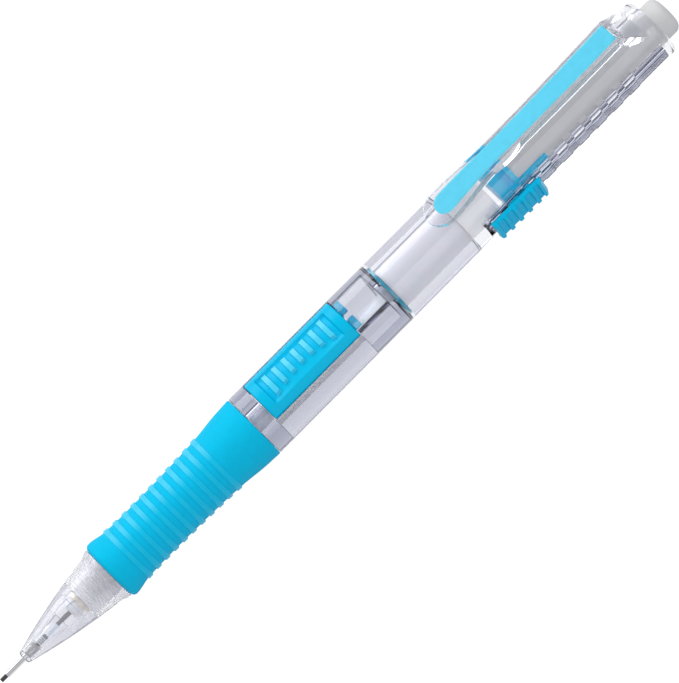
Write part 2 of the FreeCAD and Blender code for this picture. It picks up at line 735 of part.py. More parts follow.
def clip_root():
    """Block that carries the clip, widening as it slopes down into the back of the housing."""
    base = HOUSING_R - ROOT_DEPTH
    slope_x = CLIP_ROOT_X + ROOT_SLOPE
    foot_x = slope_x + ROOT_FOOT
    side = [
        (CLIP_ROOT_X, base),
        (CLIP_ROOT_X, CLIP_TOP_Z),
        (CLIP_ROOT_X + END_PLAY, CLIP_TOP_Z),
        (slope_x, HOUSING_R + SEAM),
        (foot_x, HOUSING_R - END_PLAY),
        (foot_x, base),
    ]
    wide = CLIP_ROOT_HALF_WIDTH + ROOT_SPREAD
    plan = [
        V(CLIP_ROOT_X, CLIP_ROOT_HALF_WIDTH, 0),
        V(slope_x, wide, 0),
        V(foot_x, wide, 0),
        V(foot_x, -wide, 0),
        V(slope_x, -wide, 0),
        V(CLIP_ROOT_X, -CLIP_ROOT_HALF_WIDTH, 0),
    ]
    outline = Part.Face(Part.makePolygon(plan + plan[:1])).extrude(V(0, 0, FAR))
    return plate(side, -FAR, FAR).common(outline)


def eraser_housing():
    """Clear tube with a notched slot for the slider and a lip that guides the eraser."""
    body = turned(
        [
            (MIDDLE_BACK, 0),
            (MIDDLE_BACK, HOUSING_FRONT_R),
            (MIDDLE_BACK + HOUSING_TAPER, HOUSING_R),
            (HOUSING_BACK - RIM_ROUND, HOUSING_R),
            (HOUSING_BACK - RIM_ROUND * 0.3, HOUSING_R - RIM_ROUND * 0.3),
            (HOUSING_BACK, HOUSING_R - RIM_ROUND),
            (HOUSING_BACK, 0),
        ]
    )
    lip_r = ERASER_R + ERASER_GUIDE
    bore = turned(
        [
            (MIDDLE_BACK - 1, 0),
            (MIDDLE_BACK - 1, REAR_BORE_R),
            (HOUSING_BACK - RIM_LIP, REAR_BORE_R),
            (HOUSING_BACK - RIM_LIP, lip_r),
            (HOUSING_BACK + 1, lip_r),
            (HOUSING_BACK + 1, 0),
        ]
    )
    body = body.fuse(clip_root()).cut(bore)
    inner = -REAR_BORE_R / 2
    body = body.cut(block(SLOT_FRONT, SLOT_BACK, -FAR, inner, -SLOT_HALF_WIDTH, SLOT_HALF_WIDTH))
    reach = SLOT_HALF_WIDTH + NOTCH_DEPTH
    for i in range(NOTCH_COUNT):
        x0 = MIDDLE_BACK + NOTCH_FIRST + i * NOTCH_PITCH
        body = body.cut(block(x0, x0 + NOTCH_LENGTH, -FAR, inner, -reach, reach))
    return body.removeSplitter()


# ---- Clip ---------------------------------------------------------------------------------------
def clip_bottom(x):
    """Height of the clip's underside, which climbs a little towards the root."""
    share = max(0.0, (x - CLIP_KNEE_X) / (CLIP_ROOT_X - CLIP_KNEE_X))
    return CLIP_UNDERSIDE + CLIP_UNDERSIDE_RISE * share**2


def clip_top(x):
    """Height of the clip's top face: it rises quickly from the tip, then slowly to the root."""
    if x < CLIP_KNEE_X:
        share = (x - CLIP_TIP_X) / CLIP_TIP_LENGTH
        rise = (CLIP_THICKNESS - CLIP_TIP_THICKNESS) * (1 - (1 - share) ** 2)
        return CLIP_UNDERSIDE + CLIP_TIP_THICKNESS + rise
    share = (x - CLIP_KNEE_X) / (CLIP_ROOT_X - CLIP_KNEE_X)
    return CLIP_UNDERSIDE + CLIP_THICKNESS + (CLIP_ROOT_THICKNESS - CLIP_THICKNESS) * share**2


def clip_side():
    """The clip seen from the side, as a solid wider than the clip."""
    steps = 9
    stations = [CLIP_TIP_X + (CLIP_BLADE_END - CLIP_TIP_X) * i / steps for i in range(steps + 1)]
    top = [(x, -FAR, clip_top(x)) for x in stations]
    bottom = [(x, -FAR, clip_bottom(x)) for x in reversed(stations)]
    edges = [smooth(top), line(top[-1], bottom[0]), smooth(bottom), line(bottom[-1], top[0])]
    return Part.Face(Part.Wire(edges)).extrude(V(0, 2 * FAR, 0))


def clip_plan(half, tip_half, root_half, margin):
    """The clip seen from above: a round, wider tip, a waist, and sides that open a little to the root."""
    start = CLIP_TIP_X + margin
    widest = start + tip_half
    middle_x = (widest + CLIP_KNEE_X) / 2
    sides = []
    for sign in (1, -1):
        narrowing = [(widest, tip_half), (middle_x, (tip_half + half) / 2), (CLIP_KNEE_X, half)]
        sides.append([(x, sign * y, 0) for x, y in narrowing])
    left, right = sides
    left_end = (CLIP_BLADE_END, root_half, 0)
    right_end = (CLIP_BLADE_END, -root_half, 0)
    edges = [
        arc(right[0], (start, 0, 0), left[0]),
        smooth(left),
        line(left[-1], left_end),
        line(left_end, right_end),
        line(right_end, right[-1]),
        smooth(right[::-1]),
    ]
    return Part.Face(Part.Wire(edges)).extrude(V(0, 0, FAR))


def inlay_space(grow):
    """The top of the clip down to the inlay's depth, inside the inlay's outline, both grown by grow."""
    side = clip_side()
    below = side.copy()
    below.translate(V(0, 0, -INLAY_DEPTH - grow))
    halves = [half + grow for half in (INLAY_HALF_WIDTH, INLAY_TIP_HALF_WIDTH, INLAY_ROOT_HALF_WIDTH)]
    plan = clip_plan(*halves, INLAY_MARGIN - grow)
    return side.cut(below).common(plan)


def clip_inlay():
    return inlay_space(0)


def clip_blade():
    """Clear spring blade, with a pad underneath that bears on the housing."""
    blade = clip_side().common(clip_plan(CLIP_HALF_WIDTH, CLIP_TIP_HALF_WIDTH, CLIP_ROOT_HALF_WIDTH, 0))
    pad_x = CLIP_KNEE_X + CLIP_PAD_AFTER_TIP
    pad_z = housing_radius(pad_x) + SEAM + CLIP_PAD_R
    half = CLIP_HALF_WIDTH - CLIP_PAD_MARGIN
    pad = Part.makeCylinder(CLIP_PAD_R, 2 * half, V(pad_x, -half, pad_z), V(0, 1, 0))
    pad = pad.common(middle_block(pad_x - FAR, pad_x + FAR, half, 0, CLIP_UNDERSIDE + END_PLAY))
    return fused(blade, pad).cut(inlay_space(FIT))


# ---- Eraser, holder and slider ------------------------------------------------------------------
def eraser():
    round_x = ERASER_BACK - ERASER_ROUND
    edge = ERASER_ROUND * (1 - math.sqrt(0.5))
    edges = [
        line((ERASER_FRONT, 0, 0), (ERASER_FRONT, 0, ERASER_R)),
        line((ERASER_FRONT, 0, ERASER_R), (round_x, 0, ERASER_R)),
        arc(
            (round_x, 0, ERASER_R),
            (ERASER_BACK - edge, 0, ERASER_R - edge),
            (ERASER_BACK, 0, ERASER_R - ERASER_ROUND),
        ),
        line((ERASER_BACK, 0, ERASER_R - ERASER_ROUND), (ERASER_BACK, 0, 0)),
        line((ERASER_BACK, 0, 0), (ERASER_FRONT, 0, 0)),
    ]
    return turned_edges(edges)


def eraser_holder():
    """Disc, neck and flange in front of the eraser, with two thin arms that hold its end."""
    body = turned(
        [
            (HOLDER_FRONT, 0),
            (HOLDER_FRONT, HOLDER_R),
            (DISC_BACK, HOLDER_R),
            (DISC_BACK, HOLDER_NECK_R),
            (FLANGE_START, HOLDER_NECK_R),
            (FLANGE_START, HOLDER_R),
            (ERASER_FRONT, HOLDER_R),
            (ERASER_FRONT, 0),
        ]
    )
    shell = tube(FLANGE_START, HOLDER_BACK, HOLDER_R, ERASER_R + FIT)
    arms = shell.common(block(FLANGE_START, HOLDER_BACK, -FAR, FAR, -HOLDER_ARM_HALF, HOLDER_ARM_HALF))
    bridge = tube(DISC_BACK, FLANGE_START, HOLDER_R, HOLDER_NECK_R - SEAM)
    bridge = bridge.common(block(DISC_BACK, FLANGE_START, -FAR, 0, -HOLDER_BRIDGE_HALF, HOLDER_BRIDGE_HALF))
    peg_inner = HOLDER_R - KNOB_PEG_LENGTH
    socket = block(NECK_FRONT, NECK_BACK, -FAR, -peg_inner, -KNOB_PEG_HALF, KNOB_PEG_HALF)
    return fused(body, arms, bridge).cut(socket)


def slider_knob():
    """Ribbed thumb piece outside the slot, with a neck through it and a peg in the holder."""
    under = BARREL_R + SEAM
    plate_top = KNOB_TOP - KNOB_RIB_HEIGHT
    half = KNOB_HALF_WIDTH
    pieces = []
    first = (KNOB_FRONT + KNOB_BACK) / 2 - KNOB_RIB_PITCH * (KNOB_RIBS - 1) / 2
    for i in range(KNOB_RIBS):
        x0 = first + i * KNOB_RIB_PITCH - KNOB_RIB_WIDTH / 2
        pieces.append(block(x0, x0 + KNOB_RIB_WIDTH, -KNOB_TOP, -under, -half, half))
    neck_half = SLOT_HALF_WIDTH - NECK_PLAY
    pieces.append(block(NECK_FRONT, NECK_BACK, -under - SEAM, -HOLDER_R, -neck_half, neck_half))
    peg_half = KNOB_PEG_HALF - FIT
    peg_inner = HOLDER_R - KNOB_PEG_LENGTH + FIT
    pieces.append(
        block(NECK_FRONT + FIT, ERASER_FRONT - FIT, -HOLDER_R - SEAM, -peg_inner, -peg_half, peg_half)
    )
    return fused(block(KNOB_FRONT, KNOB_BACK, -plate_top, -under, -half, half), *pieces)


# ---- Build --------------------------------------------------------------------------------------
PARTS = [
    lead,
    lead_sleeve,
    lead_retainer,
    nozzle,
    chuck,
    clutch_ring,
    chuck_spring,
    lead_tube,
    cam_slider,
    spare_leads,
    side_button,
    front_barrel,
    grip_sleeve,
    joint_ring,
    middle_tube,
    lead_magazine,
    eraser_housing,
    clip_blade,
    clip_inlay,
    eraser_holder,
    slider_knob,
    eraser,
]


def main():
    os.makedirs("parts", exist_ok=True)
    for make in PARTS:
        shape = make()
        shape.exportStep(f"parts/{make.__name__}.step")
        print(f"{make.__name__}: {len(shape.Solids)} solid(s), {shape.Volume:.1f} mm3, valid {shape.isValid()}")


main()
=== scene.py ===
"""Studio picture of a side-click mechanical pencil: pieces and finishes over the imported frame.

The pencil lies along +X. Its clip and side button face +Z and its thumb slider faces -Y.
Shapes are made in millimetres and shrunk to metres when a piece is finished.
"""

import json
import math

import bmesh
import bpy
from mathutils import Matrix, Vector


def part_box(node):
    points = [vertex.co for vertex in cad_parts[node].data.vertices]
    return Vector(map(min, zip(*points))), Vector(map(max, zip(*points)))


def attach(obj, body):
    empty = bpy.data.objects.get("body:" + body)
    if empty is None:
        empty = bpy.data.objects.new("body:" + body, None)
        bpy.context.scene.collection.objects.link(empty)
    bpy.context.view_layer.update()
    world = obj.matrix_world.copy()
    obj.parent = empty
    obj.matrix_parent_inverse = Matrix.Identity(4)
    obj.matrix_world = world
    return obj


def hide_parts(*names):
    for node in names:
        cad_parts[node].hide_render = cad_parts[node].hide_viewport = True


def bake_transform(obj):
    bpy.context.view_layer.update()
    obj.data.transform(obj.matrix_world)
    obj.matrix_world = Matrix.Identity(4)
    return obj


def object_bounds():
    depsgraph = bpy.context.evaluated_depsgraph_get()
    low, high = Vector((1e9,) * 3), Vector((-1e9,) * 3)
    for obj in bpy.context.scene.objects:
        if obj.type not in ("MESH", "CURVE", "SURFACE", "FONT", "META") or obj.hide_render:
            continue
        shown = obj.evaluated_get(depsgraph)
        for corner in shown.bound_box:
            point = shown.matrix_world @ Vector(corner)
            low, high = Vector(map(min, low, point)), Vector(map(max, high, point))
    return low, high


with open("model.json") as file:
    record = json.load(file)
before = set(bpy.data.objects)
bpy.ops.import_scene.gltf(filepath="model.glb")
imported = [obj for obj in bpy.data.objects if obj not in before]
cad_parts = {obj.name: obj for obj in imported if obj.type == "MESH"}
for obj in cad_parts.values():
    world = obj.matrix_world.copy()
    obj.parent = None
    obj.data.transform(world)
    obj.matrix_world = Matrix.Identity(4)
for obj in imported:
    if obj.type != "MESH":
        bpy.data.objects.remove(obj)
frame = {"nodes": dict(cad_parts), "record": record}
CAD_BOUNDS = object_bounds()

MM = 0.001
STEPS_ROUND = 128  # steps in a full turn


# ---- Sizes and stations, in millimetres ---------------------------------------------------------
def corners(node):
    """A node's lowest and highest corners."""
    low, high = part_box(node)
    return low / MM, high / MM


LEAD = corners("lead")
SLEEVE = corners("lead_sleeve")
RETAINER = corners("lead_retainer")
NOZZLE = corners("nozzle")
CHUCK = corners("chuck")
SPRING = corners("chuck_spring")
CLUTCH = corners("clutch_ring")
GRIP = corners("grip_sleeve")
BUTTON = corners("side_button")
BARREL = corners("front_barrel")
JOINT = corners("joint_ring")
MIDDLE = corners("middle_tube")
MAGAZINE = corners("lead_magazine")
HOUSING = corners("eraser_housing")
CLIP = corners("clip_blade")
INLAY = corners("clip_inlay")
HOLDER = corners("eraser_holder")
KNOB = corners("slider_knob")
ERASER = corners("eraser")

SEAM = 0.05  # between faces that meet
PLAY = 0.15  # round what moves freely
CLOSE_FIT = 0.02  # between a tube and what sits in it
LEAD_PLAY = 0.025  # round the lead
COLLAR_LENGTH = 2.2  # back end of the lead's sleeve, inside the nozzle
GUIDE_GAP = 2.8  # from the back of the lead's guide to the chuck

BARREL_R = BARREL[1].y
BAND_R = MIDDLE[1].y  # plain band behind the button, and the middle tube
HOUSING_R = 5.3
REAR_BORE_R = MAGAZINE[1].y + CLOSE_FIT
MAIN_BORE_R = 2.0
SEAT_BORE_R = 1.35  # in front of the seat that the chuck's spring presses on
SPIGOT_R = 3.1  # to the root of its thread
THREAD_R = 3.38
THREAD_PITCH = 0.5
GRIP_BORE_R = 3.9
JOINT_X = MIDDLE[0].x - SEAM
JOINT_SPIGOT_R = 3.05

BUTTON_LENGTH = 18.45  # of the cap, without its lugs
BUTTON_FRONT = BUTTON[0].x
BUTTON_BACK = BUTTON_FRONT + BUTTON_LENGTH
BUTTON_MIDDLE = BUTTON_FRONT + BUTTON_LENGTH / 2
BUTTON_HALF = 4.1
BUTTON_R = BARREL_R - SEAM
SKIRT_Z = 3.75  # underside of the cap
POCKET_FLOOR_Z = 2.1
TROUGH_FLOOR_Z = -2.55
RAMP_STATIONS = (2.9, 11.7)  # fronts of the slanted legs, from the button's front
OUTSIDE = 20  # well past the barrel's surface, for what cuts through it


# ---- Mesh helpers -------------------------------------------------------------------------------
def cleaned(bm):
    """The mesh with its doubled points merged and its faces pointing outwards."""
    bmesh.ops.remove_doubles(bm, verts=bm.verts, dist=0.0005)
    bmesh.ops.dissolve_degenerate(bm, edges=bm.edges, dist=0.0005)
    bmesh.ops.recalc_face_normals(bm, faces=bm.faces)
    return bm


def turned(outline):
    """A solid of revolution about X.

    The outline is (x, radius) points that close on themselves or on the axis.
    """
    bm = bmesh.new()
    verts = [bm.verts.new((x, 0, radius)) for x, radius in outline]
    edges = []
    for first, last in zip(verts, verts[1:] + verts[:1]):
        if first.co.z > 0 or last.co.z > 0:
            edges.append(bm.edges.new((first, last)))
    bmesh.ops.spin(
        bm, geom=verts + edges, cent=(0, 0, 0), axis=(1, 0, 0), angle=math.tau,
        steps=STEPS_ROUND, use_merge=True,
    )
    return cleaned(bm)


def quarter_round(back, radius, size, steps=8):
    """Outline points round the back edge of a turned piece."""
    points = []
    for i in range(steps + 1):
        angle = math.pi / 2 * i / steps
        x = back - size * (1 - math.sin(angle))
        points.append((x, radius - size * (1 - math.cos(angle))))
    return points


def block(x0, x1, y0, y1, z0, z1):
    """A box between two corners."""
    bm = bmesh.new()
    bmesh.ops.create_cube(bm, size=1)
    bmesh.ops.scale(bm, verts=bm.verts, vec=(x1 - x0, y1 - y0, z1 - z0))
    middle = ((x0 + x1) / 2, (y0 + y1) / 2, (z0 + z1) / 2)
    bmesh.ops.translate(bm, verts=bm.verts, vec=middle)
    return bm


def plate(outline, y0, y1):
    """A flat-sided solid: the (x, z) outline, from y0 to y1."""
    bm = bmesh.new()
    face = bm.faces.new([bm.verts.new((x, y0, z)) for x, z in outline])
    extruded = bmesh.ops.extrude_face_region(bm, geom=[face])["geom"]
    moved = [v for v in extruded if isinstance(v, bmesh.types.BMVert)]
    bmesh.ops.translate(bm, verts=moved, vec=(0, y1 - y0, 0))
    return cleaned(bm)


def round_edges(bm, width, segments=2, sharper_than=35, where=None):
    """Rounds the edges that turn by more than an angle, or those of them that where picks."""
    limit = math.radians(sharper_than)
    edges = [e for e in bm.edges if e.is_manifold and e.calc_face_angle() > limit]
    if where:
        edges = [e for e in edges if where(e)]
    bmesh.ops.bevel(
        bm, geom=edges, offset=width, offset_type="OFFSET", segments=segments, profile=0.5,
        affect="EDGES", material=-1, clamp_overlap=True,
    )
    return bm


def loose_object(bm):
    """A helper object that is removed again once it has been used."""
    mesh = bpy.data.meshes.new("loose")
    bm.to_mesh(mesh)
    bm.free()
    loose = bpy.data.objects.new("loose", mesh)
    bpy.context.scene.collection.objects.link(loose)
    return loose


def combined(bm, others, operation="DIFFERENCE"):
    """The shape less the others, or joined with them."""
    main = loose_object(bm)
    helpers = [loose_object(other) for other in others]
    for helper in helpers:
        modifier = main.modifiers.new("combine", "BOOLEAN")
        modifier.object = helper
        modifier.operation = operation
        modifier.solver = "EXACT"
    bpy.context.view_layer.update()
    evaluated = main.evaluated_get(bpy.context.evaluated_depsgraph_get())
    result = bmesh.new()
    result.from_mesh(evaluated.to_mesh())
    for loose in (main, *helpers):
        mesh = loose.data
        bpy.data.objects.remove(loose)
        bpy.data.meshes.remove(mesh)
    return cleaned(result)


def joined(first, *others):
    """Several shapes as one mesh, each still closed by itself."""
    for other in others:
        mesh = bpy.data.meshes.new("loose")
        other.to_mesh(mesh)
        other.free()
        first.from_mesh(mesh)
        bpy.data.meshes.remove(mesh)
    return first


def curved_block(columns, rows, top, bottom):
    """A closed block whose top and bottom are functions of two shares, each from 0 to 1."""
    bm = bmesh.new()
    bmesh.ops.create_grid(bm, x_segments=columns, y_segments=rows, size=0.5)
    extruded = bmesh.ops.extrude_face_region(bm, geom=bm.faces[:])["geom"]
    lower = {v for v in extruded if isinstance(v, bmesh.types.BMVert)}
    for v in bm.verts:
        place = bottom if v in lower else top
        v.co = place(v.co.x + 0.5, v.co.y + 0.5)
    return cleaned(bm)


def finish(bm, name, material, body=None, replaces=(), smooth_angle=32):
    """Makes the mesh a piece of the pencil, in metres, riding on its body."""
    bmesh.ops.scale(bm, verts=bm.verts, vec=(MM, MM, MM))
    mesh = bpy.data.meshes.new(name)
    bm.to_mesh(mesh)
    bm.free()
    mesh.shade_smooth()
    mesh.set_sharp_from_angle(angle=math.radians(smooth_angle))
    mesh.materials.append(material)
    piece = bpy.data.objects.new(name, mesh)
    bpy.context.scene.collection.objects.link(piece)
    if body:
        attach(piece, body)
    if replaces:
        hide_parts(*replaces)
    return piece


def smoothstep(share):
    """From 0 to 1 with a level start and end."""
    share = min(1.0, max(0.0, share))
    return share * share * (3 - 2 * share)


def along(a, b, share):
    """The value a share of the way from a to b."""
    return a + (b - a) * share


# ---- Materials ----------------------------------------------------------------------------------
NOISE_LOW, NOISE_HIGH = 0.3, 0.7  # where nearly all of a noise's values lie


def new_material(name):
    material = bpy.data.materials.new(name)
    material.use_nodes = True
    tree = material.node_tree
    return material, tree, tree.nodes["Principled BSDF"]


def grain(tree, scale, stretch=(1, 1, 1), detail=3.0):
    """Noise on the object's own coordinates. Its scale is in lumps per metre."""
    place = tree.nodes.new("ShaderNodeTexCoord")
    mapping = tree.nodes.new("ShaderNodeMapping")
    mapping.inputs["Scale"].default_value = stretch
    noise = tree.nodes.new("ShaderNodeTexNoise")
    noise.inputs["Scale"].default_value = scale
    noise.inputs["Detail"].default_value = detail
    tree.links.new(place.outputs["Object"], mapping.inputs["Vector"])
    tree.links.new(mapping.outputs["Vector"], noise.inputs["Vector"])
    return noise.outputs["Fac"]


def ramp(tree, factor, low, high):
    """Turns a noise into a colour between two."""
    node = tree.nodes.new("ShaderNodeValToRGB")
    node.color_ramp.elements[0].position = NOISE_LOW
    node.color_ramp.elements[0].color = (*low, 1)
    node.color_ramp.elements[1].position = NOISE_HIGH
    node.color_ramp.elements[1].color = (*high, 1)
    tree.links.new(factor, node.inputs["Fac"])
    return node.outputs["Color"]


def spread(tree, factor, low, high):
    """Turns a noise into a value between two."""
    node = tree.nodes.new("ShaderNodeMapRange")
    node.inputs["From Min"].default_value = NOISE_LOW
    node.inputs["From Max"].default_value = NOISE_HIGH
    node.inputs["To Min"].default_value = low
    node.inputs["To Max"].default_value = high
    tree.links.new(factor, node.inputs["Value"])
    return node.outputs["Result"]


def bumped(tree, shader, height, strength, distance):
    """Roughens the shader's surface. The distance is in metres."""
    node = tree.nodes.new("ShaderNodeBump")
    node.inputs["Strength"].default_value = strength
    node.inputs["Distance"].default_value = distance
    tree.links.new(height, node.inputs["Height"])
    tree.links.new(node.outputs["Normal"], shader.inputs["Normal"])


def solid_finish(
    name, colour, roughness, lumps=900, mottle=0.05, bump=0.08, metallic=0.0, specular=0.5,
    stretch=(1, 1, 1),
):
    """An opaque finish with faint mottling, uneven gloss and a fine surface.

    Its lumps are counted per metre, and its mottle is a share of the colour.
    """
    material, tree, shader = new_material(name)
    low = [c * (1 - mottle) for c in colour]
    high = [c * (1 + mottle) for c in colour]
    noise = grain(tree, lumps, stretch)
    tree.links.new(ramp(tree, noise, low, high), shader.inputs["Base Color"])
    gloss = spread(tree, noise, roughness * 0.85, roughness * 1.15)
    tree.links.new(gloss, shader.inputs["Roughness"])
    shader.inputs["Metallic"].default_value = metallic
    shader.inputs["Specular IOR Level"].default_value = specular
    bumped(tree, shader, grain(tree, lumps * 6, stretch), bump, 0.00004)
    return material


def clear_finish(
    name, roughness=(0.01, 0.04), streaks=0.0, density=145.0, clarity=1.0, through=0.94
):
    """Clear plastic that lets light through to what is inside.

    Its density greys it in its depth, and it is hazy where its clarity is below 1.
    """
    material, tree, shader = new_material(name)
    shader.inputs["Base Color"].default_value = (0.97, 0.97, 0.98, 1)
    shader.inputs["IOR"].default_value = 1.49
    shader.inputs["Transmission Weight"].default_value = clarity
    noise = grain(tree, 500)
    tree.links.new(spread(tree, noise, *roughness), shader.inputs["Roughness"])
    if streaks:
        bumped(tree, shader, grain(tree, 1600, (0.08, 1, 1), 2.0), streaks, 0.00012)
    else:
        bumped(tree, shader, grain(tree, 260, (0.5, 1, 1), 1.0), 0.03, 0.0001)
    depth = tree.nodes.new("ShaderNodeVolumeAbsorption")
    depth.inputs["Color"].default_value = (0.30, 0.33, 0.48, 1)
    depth.inputs["Density"].default_value = density
    output = tree.nodes["Material Output"]
    tree.links.new(depth.outputs["Volume"], output.inputs["Volume"])
    light_path = tree.nodes.new("ShaderNodeLightPath")
    see_through = tree.nodes.new("ShaderNodeBsdfTransparent")
    see_through.inputs["Color"].default_value = (through, through, through + 0.01, 1)
    mix = tree.nodes.new("ShaderNodeMixShader")
    tree.links.new(light_path.outputs["Is Shadow Ray"], mix.inputs["Fac"])
    tree.links.new(shader.outputs["BSDF"], mix.inputs[1])
    tree.links.new(see_through.outputs["BSDF"], mix.inputs[2])
    tree.links.new(mix.outputs["Shader"], output.inputs["Surface"])
    return material


def milky_finish():
    """Translucent plastic."""
    material = solid_finish(
        "milky_plastic", (0.94, 0.94, 0.95), 0.4, lumps=300, mottle=0.015, bump=0.03
    )
    shader = material.node_tree.nodes["Principled BSDF"]
    shader.inputs["Subsurface Weight"].default_value = 0.25
    shader.inputs["Subsurface Scale"].default_value = 0.0008
    return material


def rib_finish_painted_highlight():
    """Smooth rubber for the grip's bands, with a painted highlight: paler on the side that faces
    up, towards the key lamp.
    """
    material = solid_finish(
        "blue_rubber_rib_painted_highlight", (0.055, 0.64, 0.9), 0.36, bump=0.1, mottle=0.03, specular=0.1
    )
    tree = material.node_tree
    shader = tree.nodes["Principled BSDF"]
    pale = shader.inputs["Base Color"].links[0].from_socket
    # Painted highlight: the colour turns paler across the bands' upper side, where the key lamp's
    # light falls.
    place = tree.nodes.new("ShaderNodeTexCoord")
    side = tree.nodes.new("ShaderNodeVectorMath")
    side.operation = "DOT_PRODUCT"
    side.inputs[1].default_value = (0, 0.866, 0.5)
    tree.links.new(place.outputs["Object"], side.inputs[0])
    share = tree.nodes.new("ShaderNodeMapRange")
    share.inputs["From Min"].default_value = 0.001
    share.inputs["From Max"].default_value = 0.0026
    tree.links.new(side.outputs["Value"], share.inputs["Value"])
    mix = tree.nodes.new("ShaderNodeMix")
    mix.data_type = "RGBA"
    mix.inputs["A"].default_value = (0.004, 0.58, 0.86, 1)
    tree.links.new(share.outputs["Result"], mix.inputs["Factor"])
    tree.links.new(pale, mix.inputs["B"])
    tree.links.new(mix.outputs["Result"], shader.inputs["Base Color"])
    return material


CLEAR = clear_finish("clear_plastic")
CLEAR_NOZZLE = clear_finish(
    "clear_plastic_nozzle", roughness=(0.05, 0.12), streaks=0.4, density=110.0, clarity=0.86
)
CLEAR_THREAD = clear_finish(
    "clear_plastic_thread", roughness=(0.3, 0.5), streaks=0.2, density=60.0, clarity=0.45
)
CLEAR_TUBE = clear_finish("clear_plastic_tube", density=110.0, through=0.99)
CLEAR_HOUSING = clear_finish("clear_plastic_housing", density=40.0)
MILKY = milky_finish()
RUBBER = solid_finish(
    "blue_rubber", (0.004, 0.565, 0.85), 0.6, bump=0.15, mottle=0.03, specular=0.03
)
RUBBER_RIB_PAINTED_HIGHLIGHT = rib_finish_painted_highlight()
BLUE = solid_finish(
    "blue_plastic", (0.0, 0.54, 0.83), 0.3, bump=0.04, mottle=0.02, specular=0.08
)
TEAL = solid_finish(
    "deep_blue_plastic", (0.0, 0.32, 0.46), 0.3, bump=0.04, mottle=0.02, specular=0.1
)
# Painted light: a paler copy of the button's blue for its raised ribs, standing in for the light
# they catch.
BLUE_RIB_PAINTED_LIGHT = solid_finish(
    "blue_plastic_rib_painted_light", (0.06, 0.66, 0.9), 0.25, bump=0.04, mottle=0.02, specular=0.3
)
PALE_BLUE = solid_finish(
    "pale_blue_plastic", (0.11, 0.68, 0.86), 0.4, bump=0.05, mottle=0.03, specular=0.2
)
INLAY_BACK = solid_finish(
    "inlay_back", (0.78, 0.9, 0.93), 0.5, bump=0.05, mottle=0.02, specular=0.1
)
STEEL = solid_finish(
    "steel", (0.62, 0.62, 0.63), 0.24, lumps=1500, bump=0.05, metallic=1.0, stretch=(0.2, 1, 1)
)
BRASS = solid_finish("brass", (0.8, 0.72, 0.58), 0.45, lumps=1500, bump=0.1, metallic=1.0)
STEEL_DARK = solid_finish(
    "steel_dark", (0.3, 0.3, 0.31), 0.3, lumps=1500, bump=0.1, metallic=1.0, stretch=(4, 1, 1)
)
DARK = solid_finish("dark_rubber", (0.03, 0.03, 0.035), 0.6)
GRAPHITE = solid_finish("graphite", (0.035, 0.035, 0.04), 0.42, lumps=2500, mottle=0.3)
# Painted shade: a darker copy of the eraser's vinyl, for the length that lies inside the clear
# housing.
VINYL_PAINTED_SHADE = solid_finish(
    "eraser_vinyl", (0.57, 0.575, 0.575), 0.65, lumps=600, mottle=0.02, bump=0.2, specular=0.3
)
VINYL_END = solid_finish(
    "eraser_vinyl_end", (0.69, 0.695, 0.685), 0.65, lumps=600, mottle=0.02, bump=0.2,
    specular=0.3,
)

BY_SLOT = {
    "clear_plastic": CLEAR,
    "milky_plastic": MILKY,
    "blue_rubber": RUBBER,
    "blue_plastic": BLUE,
    "pale_blue_plastic": PALE_BLUE,
    "steel": STEEL,
    "brass": BRASS,
    "dark_rubber": DARK,
    "graphite": GRAPHITE,
    "eraser_vinyl": VINYL_PAINTED_SHADE,
}


def dress_frame():
    """Gives every CAD node that stays in view its finish."""
    for part in frame["record"]["subparts"]:
        finish_of_node = TEAL if part["node"] == "joint_ring" else BY_SLOT[part["material_slot"]]
        mesh = frame["nodes"][part["node"]].data
        for i in range(len(mesh.materials)):
            mesh.materials[i] = finish_of_node


# ---- Writing end --------------------------------------------------------------------------------
def make_lead():
    """Plain rod with its ends a little rounded."""
    front, back, radius = LEAD[0].x, LEAD[1].x, LEAD[1].y
    bm = turned([(front, 0), (front, radius), (back, radius), (back, 0)])
    round_edges(bm, width=0.05)
    finish(bm, "lead_in_use", GRAPHITE, "lead_in_use", ["lead"])


def make_sleeve():
    """Thin tube with a rounded mouth and a collar inside the nozzle."""
    front, back = SLEEVE[0].x, SLEEVE[1].x
    collar_x = back - COLLAR_LENGTH
    bore, tube_r, collar_r = LEAD[1].y + LEAD_PLAY, 0.52, SLEEVE[1].y
    outline = [
        (front, bore), (front, tube_r), (collar_x, tube_r), (collar_x, collar_r),
        (back, collar_r), (back, bore),
    ]
    bm = round_edges(turned(outline), width=0.05, segments=3)
    for face in bm.faces:
        if face.calc_center_median().x > collar_x:
            face.material_index = 1
    piece = finish(bm, "lead_sleeve_tube", STEEL, "nozzle_unit", ["lead_sleeve"])
    piece.data.materials.append(STEEL_DARK)


def make_retainer():
    """Soft ring round the lead with four grooves, and the pale guide behind it."""
    front, back = RETAINER[0].x, RETAINER[1].x
    bore, groove_r, stripe_r = LEAD[1].y + LEAD_PLAY, 0.4, 0.46
    groove_width, taper = 0.15, 0.3
    outline = [(front, bore), (front, stripe_r)]
    for start in (0.2, 0.55, 0.9, 1.25):
        outline += [(front + start, stripe_r), (front + start, groove_r)]
        stop = front + start + groove_width
        outline += [(stop, groove_r), (stop, stripe_r)]
    stripes_end = back - 0.4
    guide_back = CHUCK[0].x - GUIDE_GAP
    outline += [(back - taper, stripe_r), (back, groove_r)]
    outline += [(guide_back, groove_r), (guide_back, bore)]
    bm = turned(outline)
    for face in bm.faces:
        middle = face.calc_center_median()
        low = math.hypot(middle.y, middle.z) < groove_r + 0.04
        if (low and middle.x < stripes_end) or middle.x > back:
            face.material_index = 1
    piece = finish(bm, "retainer_ring", DARK, "nozzle_unit", ["lead_retainer"])
    piece.data.materials.append(MILKY)


